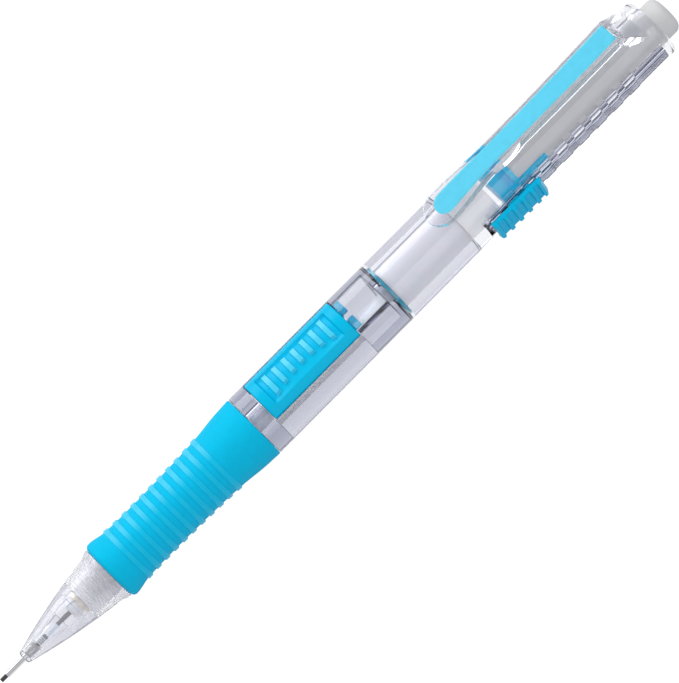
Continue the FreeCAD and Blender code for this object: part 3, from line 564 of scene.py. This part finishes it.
def make_spring():
    """Spring of the chuck, drawn at one length; the real one shortens as the lead tube moves
    towards its seat.
    """
    front, back, outer_r = SPRING[0].x, SPRING[1].x, SPRING[1].y
    wire_r, turns, steps_per_turn, sides = 0.14, 9, 36, 8
    radius = outer_r - wire_r
    steps = turns * steps_per_turn
    bm = bmesh.new()
    rings = []
    for i in range(steps + 1):
        x = along(front + wire_r, back - wire_r, i / steps)
        turn = 2 * math.pi * i / steps_per_turn
        ring = []
        for k in range(sides):
            around = 2 * math.pi * k / sides
            out = radius + wire_r * math.cos(around)
            place = (x + wire_r * math.sin(around), out * math.cos(turn), out * math.sin(turn))
            ring.append(bm.verts.new(place))
        rings.append(ring)
    for ring, following in zip(rings, rings[1:]):
        for k in range(sides):
            after = (k + 1) % sides
            bm.faces.new((ring[k], ring[after], following[after], following[k]))
    bm.faces.new(rings[0])
    bm.faces.new(rings[-1])
    bmesh.ops.recalc_face_normals(bm, faces=bm.faces)
    piece = finish(bm, "return_spring", STEEL, replaces=["chuck_spring"])
    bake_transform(piece)


def make_nozzle():
    """Clear cone that bows out a little, with a short flare at the back and steps inside."""
    front, rim = NOZZLE[0].x, NOZZLE[1].x
    tip_r, back_r, rim_r, bulge = 1.1, 4.5, NOZZLE[1].y, 0.33
    tip_bevel, flare_length, rim_length, steps = 0.2, 1.4, 0.6, 24
    flare_x = rim - flare_length
    outside = []
    for i in range(steps + 1):
        share = i / steps
        radius = along(tip_r, back_r, share) + 4 * bulge * share * (1 - share)
        outside.append((along(front + tip_bevel, flare_x, share), radius))
    chuck_room = CHUCK[0].x - 1.8
    ring_stop = CLUTCH[0].x - 0.8
    spigot_x = BARREL[0].x - SEAM
    collar_x = SLEEVE[1].x - COLLAR_LENGTH
    sleeve_r, collar_r = 0.53, SLEEVE[1].y + 0.01
    lead_r, guide_r, retainer_r = 0.42, 1.2, RETAINER[1].y + 0.01
    head_r, ring_r = CHUCK[1].y + PLAY, CLUTCH[1].y + PLAY
    inside = [
        (rim, THREAD_R + SEAM),
        (spigot_x, THREAD_R + SEAM),
        (spigot_x, ring_r),
        (ring_stop, ring_r),
        (ring_stop, head_r),
        (chuck_room, head_r),
        (chuck_room, guide_r),
        (RETAINER[1].x, retainer_r),
        (RETAINER[0].x, retainer_r),
        (RETAINER[0].x, lead_r),
        (SLEEVE[1].x, lead_r),
        (SLEEVE[1].x, collar_r),
        (collar_x, collar_r),
        (collar_x, sleeve_r),
        (front, sleeve_r),
    ]
    rim_points = [(rim - rim_length, rim_r - SEAM), (rim, rim_r)]
    outline = [(front, tip_r - tip_bevel), *outside, *rim_points, *inside]
    bm = round_edges(turned(outline), width=0.06)
    finish(bm, "nozzle_cone", CLEAR_NOZZLE, "nozzle_unit", ["nozzle"])


# ---- Grip ---------------------------------------------------------------------------------------
GRIP_SHARES = [0, 0.04, 0.115, 0.295, 0.6, 0.765, 0.885, 1]  # of the grip's length
GRIP_RADII = [5.33, 5.38, 4.93, 4.77, 4.92, 5.19, 5.6, 5.8]
RIB_COUNT = 11
RIB_PITCH = 1.93
RIB_WIDTH = 0.95
RIB_HEIGHT = 0.24
RIB_FIRST = 4.2  # middle of the first rib, from the grip's front


def grip_radius(x):
    """Radius of the grip without its ribs: a smooth curve through the stations above."""
    share = (x - GRIP[0].x) / (GRIP[1].x - GRIP[0].x)
    last = len(GRIP_SHARES) - 1
    i = max(k for k in range(last) if share >= GRIP_SHARES[k] or k == 0)
    slopes = []
    for k in (i, i + 1):
        before, after = max(0, k - 1), min(last, k + 1)
        rise = GRIP_RADII[after] - GRIP_RADII[before]
        slopes.append(rise / (GRIP_SHARES[after] - GRIP_SHARES[before]))
    width = GRIP_SHARES[i + 1] - GRIP_SHARES[i]
    t = (share - GRIP_SHARES[i]) / width
    first = (2 * t**3 - 3 * t**2 + 1) * GRIP_RADII[i] + (t**3 - 2 * t**2 + t) * width * slopes[0]
    return first + (-2 * t**3 + 3 * t**2) * GRIP_RADII[i + 1] + (t**3 - t**2) * width * slopes[1]


def make_grip():
    """Soft sleeve with a rounded lip and eleven raised bands."""
    front, back = GRIP[0].x, GRIP[1].x
    bore = GRIP_BORE_R + CLOSE_FIT
    lip_round, lip_steps = 0.75, 6
    points = []
    for i in range(lip_steps + 1):
        angle = math.pi / 2 * i / lip_steps
        x = front + lip_round * (1 - math.cos(angle))
        points.append((x, grip_radius(x) - lip_round * (1 - math.sin(angle))))
    ribs = [front + RIB_FIRST + i * RIB_PITCH for i in range(RIB_COUNT)]
    stops = [(x, grip_radius(x)) for x in (front + 1.4, front + 2.2, front + 3.0)]
    side, slant = RIB_WIDTH / 2, 0.06
    for middle in ribs:
        rib = (
            (middle - side - slant, 0),
            (middle - side + slant, RIB_HEIGHT),
            (middle, RIB_HEIGHT),
            (middle + side - slant, RIB_HEIGHT),
            (middle + side + slant, 0),
        )
        stops += [(x, grip_radius(x) + lift) for x, lift in rib]
    swell_x, swell_steps = ribs[-1] + 1.0, 16
    for i in range(swell_steps + 1):
        x = along(swell_x, back - 0.12, i / swell_steps)
        stops.append((x, grip_radius(x)))
    outline = [(front, bore), *points, *stops, (back, grip_radius(back) - 0.14), (back, bore)]
    bm = round_edges(turned(outline), width=0.07, segments=3, sharper_than=30)
    for face in bm.faces:
        middle = face.calc_center_median()
        lift = math.hypot(middle.y, middle.z) - grip_radius(middle.x)
        on_rib = min(abs(middle.x - rib_x) for rib_x in ribs) < side
        if on_rib and lift > RIB_HEIGHT * 0.4:
            face.material_index = 1
    piece = finish(bm, "grip", RUBBER, "front_body", ["grip_sleeve"])
    # The bands take the rib finish, which carries a painted highlight on their upper side.
    piece.data.materials.append(RUBBER_RIB_PAINTED_HIGHLIGHT)


# ---- Front barrel -------------------------------------------------------------------------------
def make_front_barrel():
    """Clear barrel: threaded spigot, the button's pocket and trough, and a channel behind them."""
    spigot_x, spigot_back = BARREL[0].x, BARREL[1].x
    grip_front, grip_back = GRIP[0].x, GRIP[1].x + SEAM
    band_x = BUTTON_BACK + PLAY + 0.2
    spigot_bevel, end_bevel, joint_bevel, edge_bevel = 0.25, 0.12, 0.3, 0.1
    threads = []
    count = int((grip_front - spigot_x - 0.75) / THREAD_PITCH)
    for i in range(count):
        x = spigot_x + spigot_bevel + i * THREAD_PITCH
        threads += [(x, SPIGOT_R), (x + THREAD_PITCH / 2, THREAD_R)]
    seat_x = spigot_x + 1.5
    outline = [
        (spigot_x, SEAT_BORE_R),
        (spigot_x, SPIGOT_R - spigot_bevel),
        *threads,
        (grip_front - 0.3, SPIGOT_R),
        (grip_front, SPIGOT_R),
        (grip_front, GRIP_BORE_R),
        (grip_back, GRIP_BORE_R),
        (grip_back, BARREL_R - end_bevel),
        (grip_back + end_bevel, BARREL_R),
        (band_x, BARREL_R),
        (band_x + 0.15, BAND_R),
        (JOINT_X - edge_bevel, BAND_R),
        (JOINT_X, BAND_R - edge_bevel),
        (JOINT_X, JOINT_SPIGOT_R),
        (spigot_back - joint_bevel, JOINT_SPIGOT_R),
        (spigot_back, JOINT_SPIGOT_R - joint_bevel),
        (spigot_back, MAIN_BORE_R),
        (seat_x, MAIN_BORE_R),
        (seat_x, SEAT_BORE_R),
    ]
    body = turned(outline)
    front, back = BUTTON_FRONT - PLAY, BUTTON_BACK + PLAY
    half, trough_half = BUTTON_HALF + PLAY, 3.25
    pocket = block(front, back, -half, half, POCKET_FLOOR_Z, OUTSIDE)
    trough = block(front, back, -trough_half, trough_half, TROUGH_FLOOR_Z, POCKET_FLOOR_Z + 1)
    channel = block(BUTTON_BACK - 1, JOINT_X - 1, -3, 3, -1, 3.7)
    for cutter in (pocket, trough, channel):
        round_edges(cutter, width=0.18, segments=3)
    body = combined(body, [pocket, trough, channel])
    for face in body.faces:
        middle = face.calc_center_median()
        in_pocket = front - 0.02 < middle.x < back + 0.02 and middle.z > POCKET_FLOOR_Z - 0.1
        on_wall = abs(abs(middle.y) - half) < 0.06 and abs(face.normal.y) > 0.7
        if middle.x < grip_front or (in_pocket and on_wall):
            face.material_index = 1
    piece = finish(
        body, "front_barrel_shell", CLEAR, "front_body", ["front_barrel"]
    )
    piece.data.materials.append(CLEAR_THREAD)


# ---- Side button --------------------------------------------------------------------------------
BUTTON_RIBS = 7
BUTTON_RIB_PITCH = 2.0
BUTTON_RIB_HALF = 0.5
SCOOP_HALF = 2.85
SCOOP_REACH = 7.55  # from the button's middle to either end of the scoop
SCOOP_DEPTH = 0.55
RIB_SUNK = 0.12  # from the button's surface down to the ribs' tops
LEG_INSIDE, LEG_OUTSIDE = 2.15, 3.1  # the legs' sides, from the button's middle plane


def edge_drop(distance, radius):
    """How far a rounded edge falls at a distance in from it."""
    if distance >= radius:
        return 0.0
    return radius - math.sqrt(max(0.0, radius**2 - (radius - distance) ** 2))


def scoop_floor(from_middle, y):
    """Half width of the scoop's floor: nearly straight at +Y, and deeply waisted at -Y."""
    bow = 1 - (from_middle / SCOOP_REACH) ** 2
    return 2.65 - 0.5 * bow if y > 0 else 2.3 - 1.3 * bow


def button_depth(x, y):
    """How far the surface lies under the round of the barrel: its scoop, ribs and edges."""
    from_middle = x - BUTTON_MIDDLE
    floor_half = scoop_floor(from_middle, y)
    inward = (SCOOP_HALF - abs(y)) / (SCOOP_HALF - floor_half)
    lengthwise = (SCOOP_REACH - abs(from_middle)) / 0.35
    share = min(1.0, max(0.0, min(inward, lengthwise)))
    depth = SCOOP_DEPTH * (1 - (1 - share) ** 2)
    nearest = round(from_middle / BUTTON_RIB_PITCH)
    if abs(nearest) <= BUTTON_RIBS // 2:
        across = (BUTTON_RIB_HALF + 0.05 - abs(from_middle - nearest * BUTTON_RIB_PITCH)) / 0.14
        endwise = (floor_half + 0.1 - abs(y)) / 0.25
        rib = smoothstep(min(across, endwise))
        depth = along(depth, min(depth, RIB_SUNK), rib)
    ends = min(x - BUTTON_FRONT, BUTTON_BACK - x)
    sides = BUTTON_HALF - abs(y)
    return depth + edge_drop(ends, 0.3) + edge_drop(sides, 0.1)


def make_button():
    """Curved cap with a waisted scoop and seven ribs, over four slanted legs and two lugs."""
    reach = math.asin(BUTTON_HALF / BUTTON_R)

    def top(u, v):
        x = along(BUTTON_FRONT, BUTTON_BACK, u)
        angle = along(-reach, reach, v)
        radius = BUTTON_R - button_depth(x, BUTTON_R * math.sin(angle))
        return Vector((x, radius * math.sin(angle), radius * math.cos(angle)))

    def bottom(u, v):
        x, y = along(BUTTON_FRONT, BUTTON_BACK, u), along(-BUTTON_HALF, BUTTON_HALF, v)
        return Vector((x, y, SKIRT_Z - 0.1))

    cap = curved_block(264, 120, top, bottom)
    legs = []
    for station in RAMP_STATIONS:
        x = BUTTON_FRONT + station
        leg_front, leg_back, foot_x = x + 0.05, x + 3.3, x + 2.4
        knee_z, foot_z = 1.45, -0.85
        outline = [
            (leg_front, knee_z), (leg_front, SKIRT_Z), (leg_back, SKIRT_Z),
            (leg_back, foot_z), (foot_x, foot_z),
        ]
        legs.append(plate(outline, LEG_INSIDE, LEG_OUTSIDE))
        legs.append(plate(outline, -LEG_OUTSIDE, -LEG_INSIDE))
    lug_front, lug_back = BUTTON_BACK - 1, BUTTON_BACK + 1.3
    lug_bottom, lug_top = SKIRT_Z - 0.6, SKIRT_Z - 0.15
    for y0, y1 in ((0.5, 2.6), (-2.6, -0.5)):
        legs.append(block(lug_front, lug_back, y0, y1, lug_bottom, lug_top))
    for leg in legs:
        round_edges(leg, width=0.08)
    # The ribs on the scoop's floor take the paler copy of the blue, which is painted light.
    for face in cap.faces:
        middle = face.calc_center_median()
        from_middle = middle.x - BUTTON_MIDDLE
        nearest = round(from_middle / BUTTON_RIB_PITCH)
        off_rib = abs(from_middle - nearest * BUTTON_RIB_PITCH)
        on_rib = abs(nearest) <= BUTTON_RIBS // 2 and off_rib < BUTTON_RIB_HALF
        on_floor = abs(middle.y) < scoop_floor(from_middle, middle.y) + 0.05
        if on_rib and on_floor and middle.z > SKIRT_Z + 0.1:
            face.material_index = 1
    piece = finish(cap, "button_cap", BLUE, "button", ["side_button"])
    piece.data.materials.append(BLUE_RIB_PAINTED_LIGHT)
    finish(joined(*legs), "button_legs", BLUE, "button")


# ---- Rear barrel --------------------------------------------------------------------------------
BACK_TAPER = 0.03  # fall of the middle tube's radius to its back end
TUBE_BEVEL = 0.06  # where the middle tube and the housing meet


def make_middle_tube():
    """Clear tube with a seat for the joint ring in its front end."""
    front, back = MIDDLE[0].x, MIDDLE[1].x
    seat_back, seat_r = JOINT[1].x + SEAM, JOINT[1].y + CLOSE_FIT
    front_bevel = 0.08
    outline = [
        (front, seat_r),
        (front, BAND_R - front_bevel),
        (front + front_bevel, BAND_R),
        (back - TUBE_BEVEL, BAND_R - BACK_TAPER),
        (back, BAND_R - BACK_TAPER - TUBE_BEVEL),
        (back, REAR_BORE_R),
        (seat_back, REAR_BORE_R),
        (seat_back, seat_r),
    ]
    finish(
        turned(outline), "middle_tube_shell", CLEAR_TUBE, "rear_body",
        ["middle_tube"],
    )


def make_magazine():
    """Milky sleeve that closes over the spare leads, with a rounded end."""
    front, back, outer = MAGAZINE[0].x, MAGAZINE[1].x, MAGAZINE[1].y
    socket_x, socket_r = BARREL[1].x + 0.3, JOINT_SPIGOT_R + SEAM
    bore, end_x = 1.9, back - 1.2
    outline = [
        (front, socket_r), (front, outer), (back, outer), (back, 0),
        (end_x, 0), (end_x, bore), (socket_x, bore), (socket_x, socket_r),
    ]
    bm = round_edges(turned(outline), width=0.12, segments=3)
    finish(bm, "magazine_sleeve", MILKY, "rear_body", ["lead_magazine"])


def make_housing():
    """Clear tube with a rounded rim and the slider's notched slot."""
    front, back = HOUSING[0].x, HOUSING[1].x
    taper_length, lip_length, lip_bevel = 14, 1.2, 0.1
    lip_r = ERASER[1].y + 0.12
    outline = [
        (front, REAR_BORE_R),
        (front, BAND_R - BACK_TAPER - TUBE_BEVEL),
        (front + TUBE_BEVEL, BAND_R - BACK_TAPER),
        (front + taper_length, HOUSING_R),
        *quarter_round(back, HOUSING_R, size=0.65),
        (back, lip_r + lip_bevel),
        (back - lip_bevel, lip_r),
        (back - lip_length, lip_r),
        (back - lip_length, REAR_BORE_R),
    ]
    slot_front, slot_back = KNOB[0].x - 0.9, back - 1.7
    slot_half, notch_half = 1.2, 1.7
    notch_count, notch_first, notch_pitch, notch_length = 9, 3.75, 3.71, 2.2
    cutters = [block(slot_front, slot_back, -OUTSIDE, -1, -slot_half, slot_half)]
    for i in range(notch_count):
        x = front + notch_first + i * notch_pitch
        cutters.append(block(x, x + notch_length, -OUTSIDE, -1, -notch_half, notch_half))
    body = combined(turned(outline), cutters)
    finish(body, "housing_shell", CLEAR_HOUSING, "rear_body", ["eraser_housing"])


# ---- Clip ---------------------------------------------------------------------------------------
CLIP_TIP_X = CLIP[0].x
CLIP_KNEE_X = CLIP_TIP_X + 14  # where the upturned tip has levelled out
CLIP_ROOT_X = CLIP[1].x
CLIP_SLOPE_X = CLIP_ROOT_X + 3.9  # where the root has come down to the housing
CLIP_FOOT_X = HOUSING[1].x - 1.6
CLIP_UNDER = HOUSING_R + 0.65  # height of the blade's underside
TIP_THICKNESS = 0.65
TIP_RISE = 1.14
BLADE_THICKNESS = 1.79
BLADE_TOP_RISE, BLADE_UNDER_RISE = 0.7, 0.5  # from the knee to the root
BLADE_HALVES = (2.95, 2.15, 2.35)  # half widths at the tip, the knee and the root
INLAY_HALVES = (1.88, 1.6, 1.8)


def clip_half(x, tip_x, tip_half, half, root_half):
    """Half the width of the clip, or of its inlay: a round tip, a waist and a wider root."""
    widest = tip_x + tip_half
    if x < widest:
        return math.sqrt(max(0.0, tip_half**2 - (widest - x) ** 2))
    if x < CLIP_KNEE_X:
        return along(tip_half, half, smoothstep((x - widest) / (CLIP_KNEE_X - widest)))
    if x < CLIP_ROOT_X:
        return along(half, root_half, (x - CLIP_KNEE_X) / (CLIP_ROOT_X - CLIP_KNEE_X))
    widening = smoothstep((x - CLIP_ROOT_X) / (CLIP_SLOPE_X - CLIP_ROOT_X))
    return along(root_half, root_half + 1.0, widening)


def clip_top(x):
    """Height of the clip's top, which bows up from a thin tip."""
    if x < CLIP_KNEE_X:
        share = (x - CLIP_TIP_X) / (CLIP_KNEE_X - CLIP_TIP_X)
        return CLIP_UNDER + TIP_THICKNESS + TIP_RISE * (1 - (1 - share) ** 2)
    share = min(1.0, (x - CLIP_KNEE_X) / (CLIP_ROOT_X - CLIP_KNEE_X))
    return CLIP_UNDER + BLADE_THICKNESS + BLADE_TOP_RISE * share**2


def clip_bottom(x):
    """The underside, with the pad that bears on the housing."""
    share = min(1.0, max(0.0, (x - CLIP_KNEE_X) / (CLIP_ROOT_X - CLIP_KNEE_X)))
    plain = CLIP_UNDER + BLADE_UNDER_RISE * share**2
    pad_x, pad_r = CLIP_KNEE_X + 1.6, 9.0
    off = abs(x - pad_x)
    if off > pad_r:
        return plain
    return min(plain, HOUSING_R + SEAM + 0.03 + pad_r - math.sqrt(pad_r**2 - off**2))


def housing_height(y):
    """Height of the housing's surface, just clear of it."""
    return math.sqrt((HOUSING_R + CLOSE_FIT) ** 2 - y**2)


def make_clip():
    """Clear spring clip and its root, in one piece with no seam where it bends."""

    def place(u, v, upper):
        x = along(CLIP_TIP_X, CLIP_FOOT_X, u**1.5)
        y = clip_half(x, CLIP_TIP_X, *BLADE_HALVES) * (2 * v - 1)
        if upper:
            landed = housing_height(y) + 0.1
            slope = (x - CLIP_ROOT_X - 0.2) / (CLIP_SLOPE_X - CLIP_ROOT_X)
            z = along(clip_top(x), landed, min(1.0, max(0.0, slope)))
        else:
            z = along(clip_bottom(x), housing_height(y), smoothstep((x - CLIP_ROOT_X) / 0.7))
        return Vector((x, y, z))

    def before_slope(edge):
        return all(v.co.x < CLIP_SLOPE_X - 0.5 for v in edge.verts)

    bm = curved_block(170, 12, lambda u, v: place(u, v, True), lambda u, v: place(u, v, False))
    round_edges(bm, width=0.16, segments=3, sharper_than=50, where=before_slope)
    clip = finish(bm, "clip_and_root", CLEAR_HOUSING, replaces=["clip_blade"])
    bend(clip)


def make_inlay():
    """Blue strip moulded into the clip, just under its surface."""
    tip_x = INLAY[0].x
    top_depth, bottom_depth = 0.12, 0.3

    def place(u, v, depth):
        x = along(tip_x, INLAY[1].x, u**1.5)
        y = clip_half(x, tip_x, *INLAY_HALVES) * (2 * v - 1)
        return Vector((x, y, clip_top(x) - depth))

    bm = curved_block(
        120, 8, lambda u, v: place(u, v, top_depth), lambda u, v: place(u, v, bottom_depth)
    )
    round_edges(bm, width=0.06, segments=2, sharper_than=50)
    for face in bm.faces:
        if face.normal.z < 0.3:
            face.material_index = 1
    inlay = finish(bm, "inlay_strip", PALE_BLUE, replaces=["clip_inlay"])
    inlay.data.materials.append(INLAY_BACK)
    bend(inlay)


def bend(piece):
    """Bakes the piece's placement into its mesh."""
    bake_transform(piece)


# ---- Eraser, holder and slider ------------------------------------------------------------------
def make_eraser():
    """Rod with a rounded end, with painted shade on the length inside the housing, so that it is
    paler from where it comes out.
    """
    front, back, radius = ERASER[0].x, ERASER[1].x, ERASER[1].y
    rounded = quarter_round(back, radius, size=1.2)
    shown_x = HOUSING[1].x - 0.3
    bm = turned([(front, 0), (front, radius), (shown_x, radius), *rounded, (back, 0)])
    # Past the housing's rim the rod takes the plain vinyl; inside, it keeps the darker copy, which
    # is painted shade.
    for face in bm.faces:
        if face.calc_center_median().x > shown_x:
            face.material_index = 1
    piece = finish(bm, "eraser_rod", VINYL_PAINTED_SHADE, "eraser_unit", ["eraser"])
    piece.data.materials.append(VINYL_END)


KNOB_RIBS = 6
KNOB_RIB_PITCH = 1.94
KNOB_RIB_HALF = 0.5
KNOB_RIB_HEIGHT = 0.42


def make_knob():
    """Thumb piece with a round front, a slanted back and six rounded ribs, on its neck and peg."""
    front, back = KNOB[0].x, KNOB[1].x
    half, top_y = KNOB[1].z, -KNOB[0].y
    under = BARREL_R + SEAM
    first = (front + back) / 2 - KNOB_RIB_PITCH * (KNOB_RIBS - 1) / 2

    def outer(u, v):
        height = top_y - KNOB_RIB_HEIGHT
        base_x = along(front, back, u)
        nearest = min(KNOB_RIBS - 1, max(0, round((base_x - first) / KNOB_RIB_PITCH)))
        across = (KNOB_RIB_HALF - abs(base_x - first - nearest * KNOB_RIB_PITCH)) / 0.2
        z = along(-half, half, v)
        height += KNOB_RIB_HEIGHT * smoothstep(across)
        end_drop = edge_drop(base_x - front, radius=0.55) + edge_drop(back - base_x, radius=0.3)
        height -= end_drop + edge_drop(half - abs(z), radius=0.35)
        slant = 0.5 * smoothstep((u - 0.8) / 0.2) * (height - under)
        return Vector((base_x - slant, -height, z))

    def inner(u, v):
        return Vector((along(front + 0.2, back, u), -under, along(-half, half, v)))

    cap = curved_block(200, 36, outer, inner)
    neck_x, neck_half, peg_half = HOLDER[0].x + SEAM, 1.1, 0.78
    holder_y = -HOLDER[1].y
    neck = block(neck_x, back - 1.8, -under - 0.2, holder_y, -neck_half, neck_half)
    peg = block(
        neck_x + CLOSE_FIT, ERASER[0].x - CLOSE_FIT, holder_y - 0.1, holder_y + 0.9,
        -peg_half, peg_half,
    )
    finish(
        joined(cap, neck, peg), "slider_thumb_piece", BLUE, "eraser_unit",
        ["slider_knob"],
    )


# ---- Camera, floor and light --------------------------------------------------------------------
PENCIL_MIDDLE = (0.07, 0, 0)  # in metres


def add_camera():
    """Long lens that looks along (0, 0.5, -0.87), turned so that the pencil rises to the right."""
    place = Vector((46.8, -359.37, 622.78)) * MM
    target = Vector((74.3, -0.07, -0.04)) * MM
    turn = math.radians(45.165)
    back = (place - target).normalized()
    along_x = (Vector((1, 0, 0)) - back * back.x).normalized()
    across = back.cross(along_x)
    right = along_x * math.cos(turn) - across * math.sin(turn)
    up = along_x * math.sin(turn) + across * math.cos(turn)
    camera = bpy.data.objects.new("camera", bpy.data.cameras.new("camera"))
    camera.data.lens = 243.7
    camera.data.clip_start = 0.05
    camera.data.clip_end = 10
    rotation = Matrix((right, up, back)).transposed().to_4x4()
    camera.matrix_world = Matrix.Translation(place) @ rotation
    bpy.context.scene.collection.objects.link(camera)
    bpy.context.scene.camera = camera


def add_floor():
    """White board some way below the pencil, bright enough to show no shadow."""
    below = 0.03
    bm = bmesh.new()
    bmesh.ops.create_grid(bm, x_segments=1, y_segments=1, size=1.5)
    bmesh.ops.translate(bm, verts=bm.verts, vec=(PENCIL_MIDDLE[0], 0, CAD_BOUNDS[0][2] - below))
    mesh = bpy.data.meshes.new("floor")
    bm.to_mesh(mesh)
    bm.free()
    floor = bpy.data.objects.new("floor", mesh)
    bpy.context.scene.collection.objects.link(floor)
    material, _, shader = new_material("floor")
    shader.inputs["Base Color"].default_value = (0.12, 0.12, 0.12, 1)
    shader.inputs["Roughness"].default_value = 0.9
    shader.inputs["Specular IOR Level"].default_value = 0.0
    shader.inputs["Emission Color"].default_value = (1, 1, 1, 1)
    shader.inputs["Emission Strength"].default_value = 0.96
    mesh.materials.append(material)
    floor.visible_diffuse = False  # it doesn't light the pencil's matt pieces


def add_light(name, place, size, power):
    """Soft rectangular lamp that faces the pencil. Its power is in watts."""
    light = bpy.data.lights.new(name, "AREA")
    light.shape = "RECTANGLE"
    light.size, light.size_y = size
    light.energy = power
    lamp = bpy.data.objects.new(name, light)
    direction = Vector(PENCIL_MIDDLE) - Vector(place)
    lamp.rotation_euler = direction.to_track_quat("-Z", "Y").to_euler()
    lamp.location = place
    bpy.context.scene.collection.objects.link(lamp)


def add_world():
    """Pale studio: bright above, greyer with a trace of violet at the sides."""
    world = bpy.data.worlds.new("studio")
    world.use_nodes = True
    tree = world.node_tree
    direction = tree.nodes.new("ShaderNodeTexCoord")
    split = tree.nodes.new("ShaderNodeSeparateXYZ")
    height = tree.nodes.new("ShaderNodeMapRange")
    height.inputs["From Min"].default_value = -1
    shades = tree.nodes.new("ShaderNodeValToRGB")
    elements = shades.color_ramp.elements
    elements[0].position, elements[0].color = 0.0, (0.55, 0.55, 0.6, 1)
    elements[1].position, elements[1].color = 1.0, (0.95, 0.95, 0.97, 1)
    side = elements.new(0.5)
    side.color = (0.5, 0.5, 0.57, 1)
    tree.links.new(direction.outputs["Generated"], split.inputs["Vector"])
    tree.links.new(split.outputs["Z"], height.inputs["Value"])
    tree.links.new(height.outputs["Result"], shades.inputs["Fac"])
    tree.links.new(shades.outputs["Color"], tree.nodes["Background"].inputs["Color"])
    tree.nodes["Background"].inputs["Strength"].default_value = 0.8
    bpy.context.scene.world = world


def set_rendering():
    """Plain colours, and enough bounces for light to cross every clear wall."""
    scene = bpy.context.scene
    scene.view_settings.view_transform = "Standard"
    scene.cycles.max_bounces = 32
    scene.cycles.transmission_bounces = 32
    scene.cycles.glossy_bounces = 12
    scene.cycles.transparent_max_bounces = 32


# ---- The scene ----------------------------------------------------------------------------------
dress_frame()
make_lead()
make_sleeve()
make_retainer()
make_spring()
make_nozzle()
make_grip()
make_front_barrel()
make_button()
make_middle_tube()
make_magazine()
make_housing()
make_clip()
make_inlay()
make_eraser()
make_knob()
add_camera()
add_floor()
add_world()
set_rendering()
add_light("key", place=(0.0, 0.64, 0.46), size=(0.7, 0.5), power=3.5)
add_light("fill", place=(0.15, -0.6, 0.5), size=(0.6, 0.6), power=1.25)
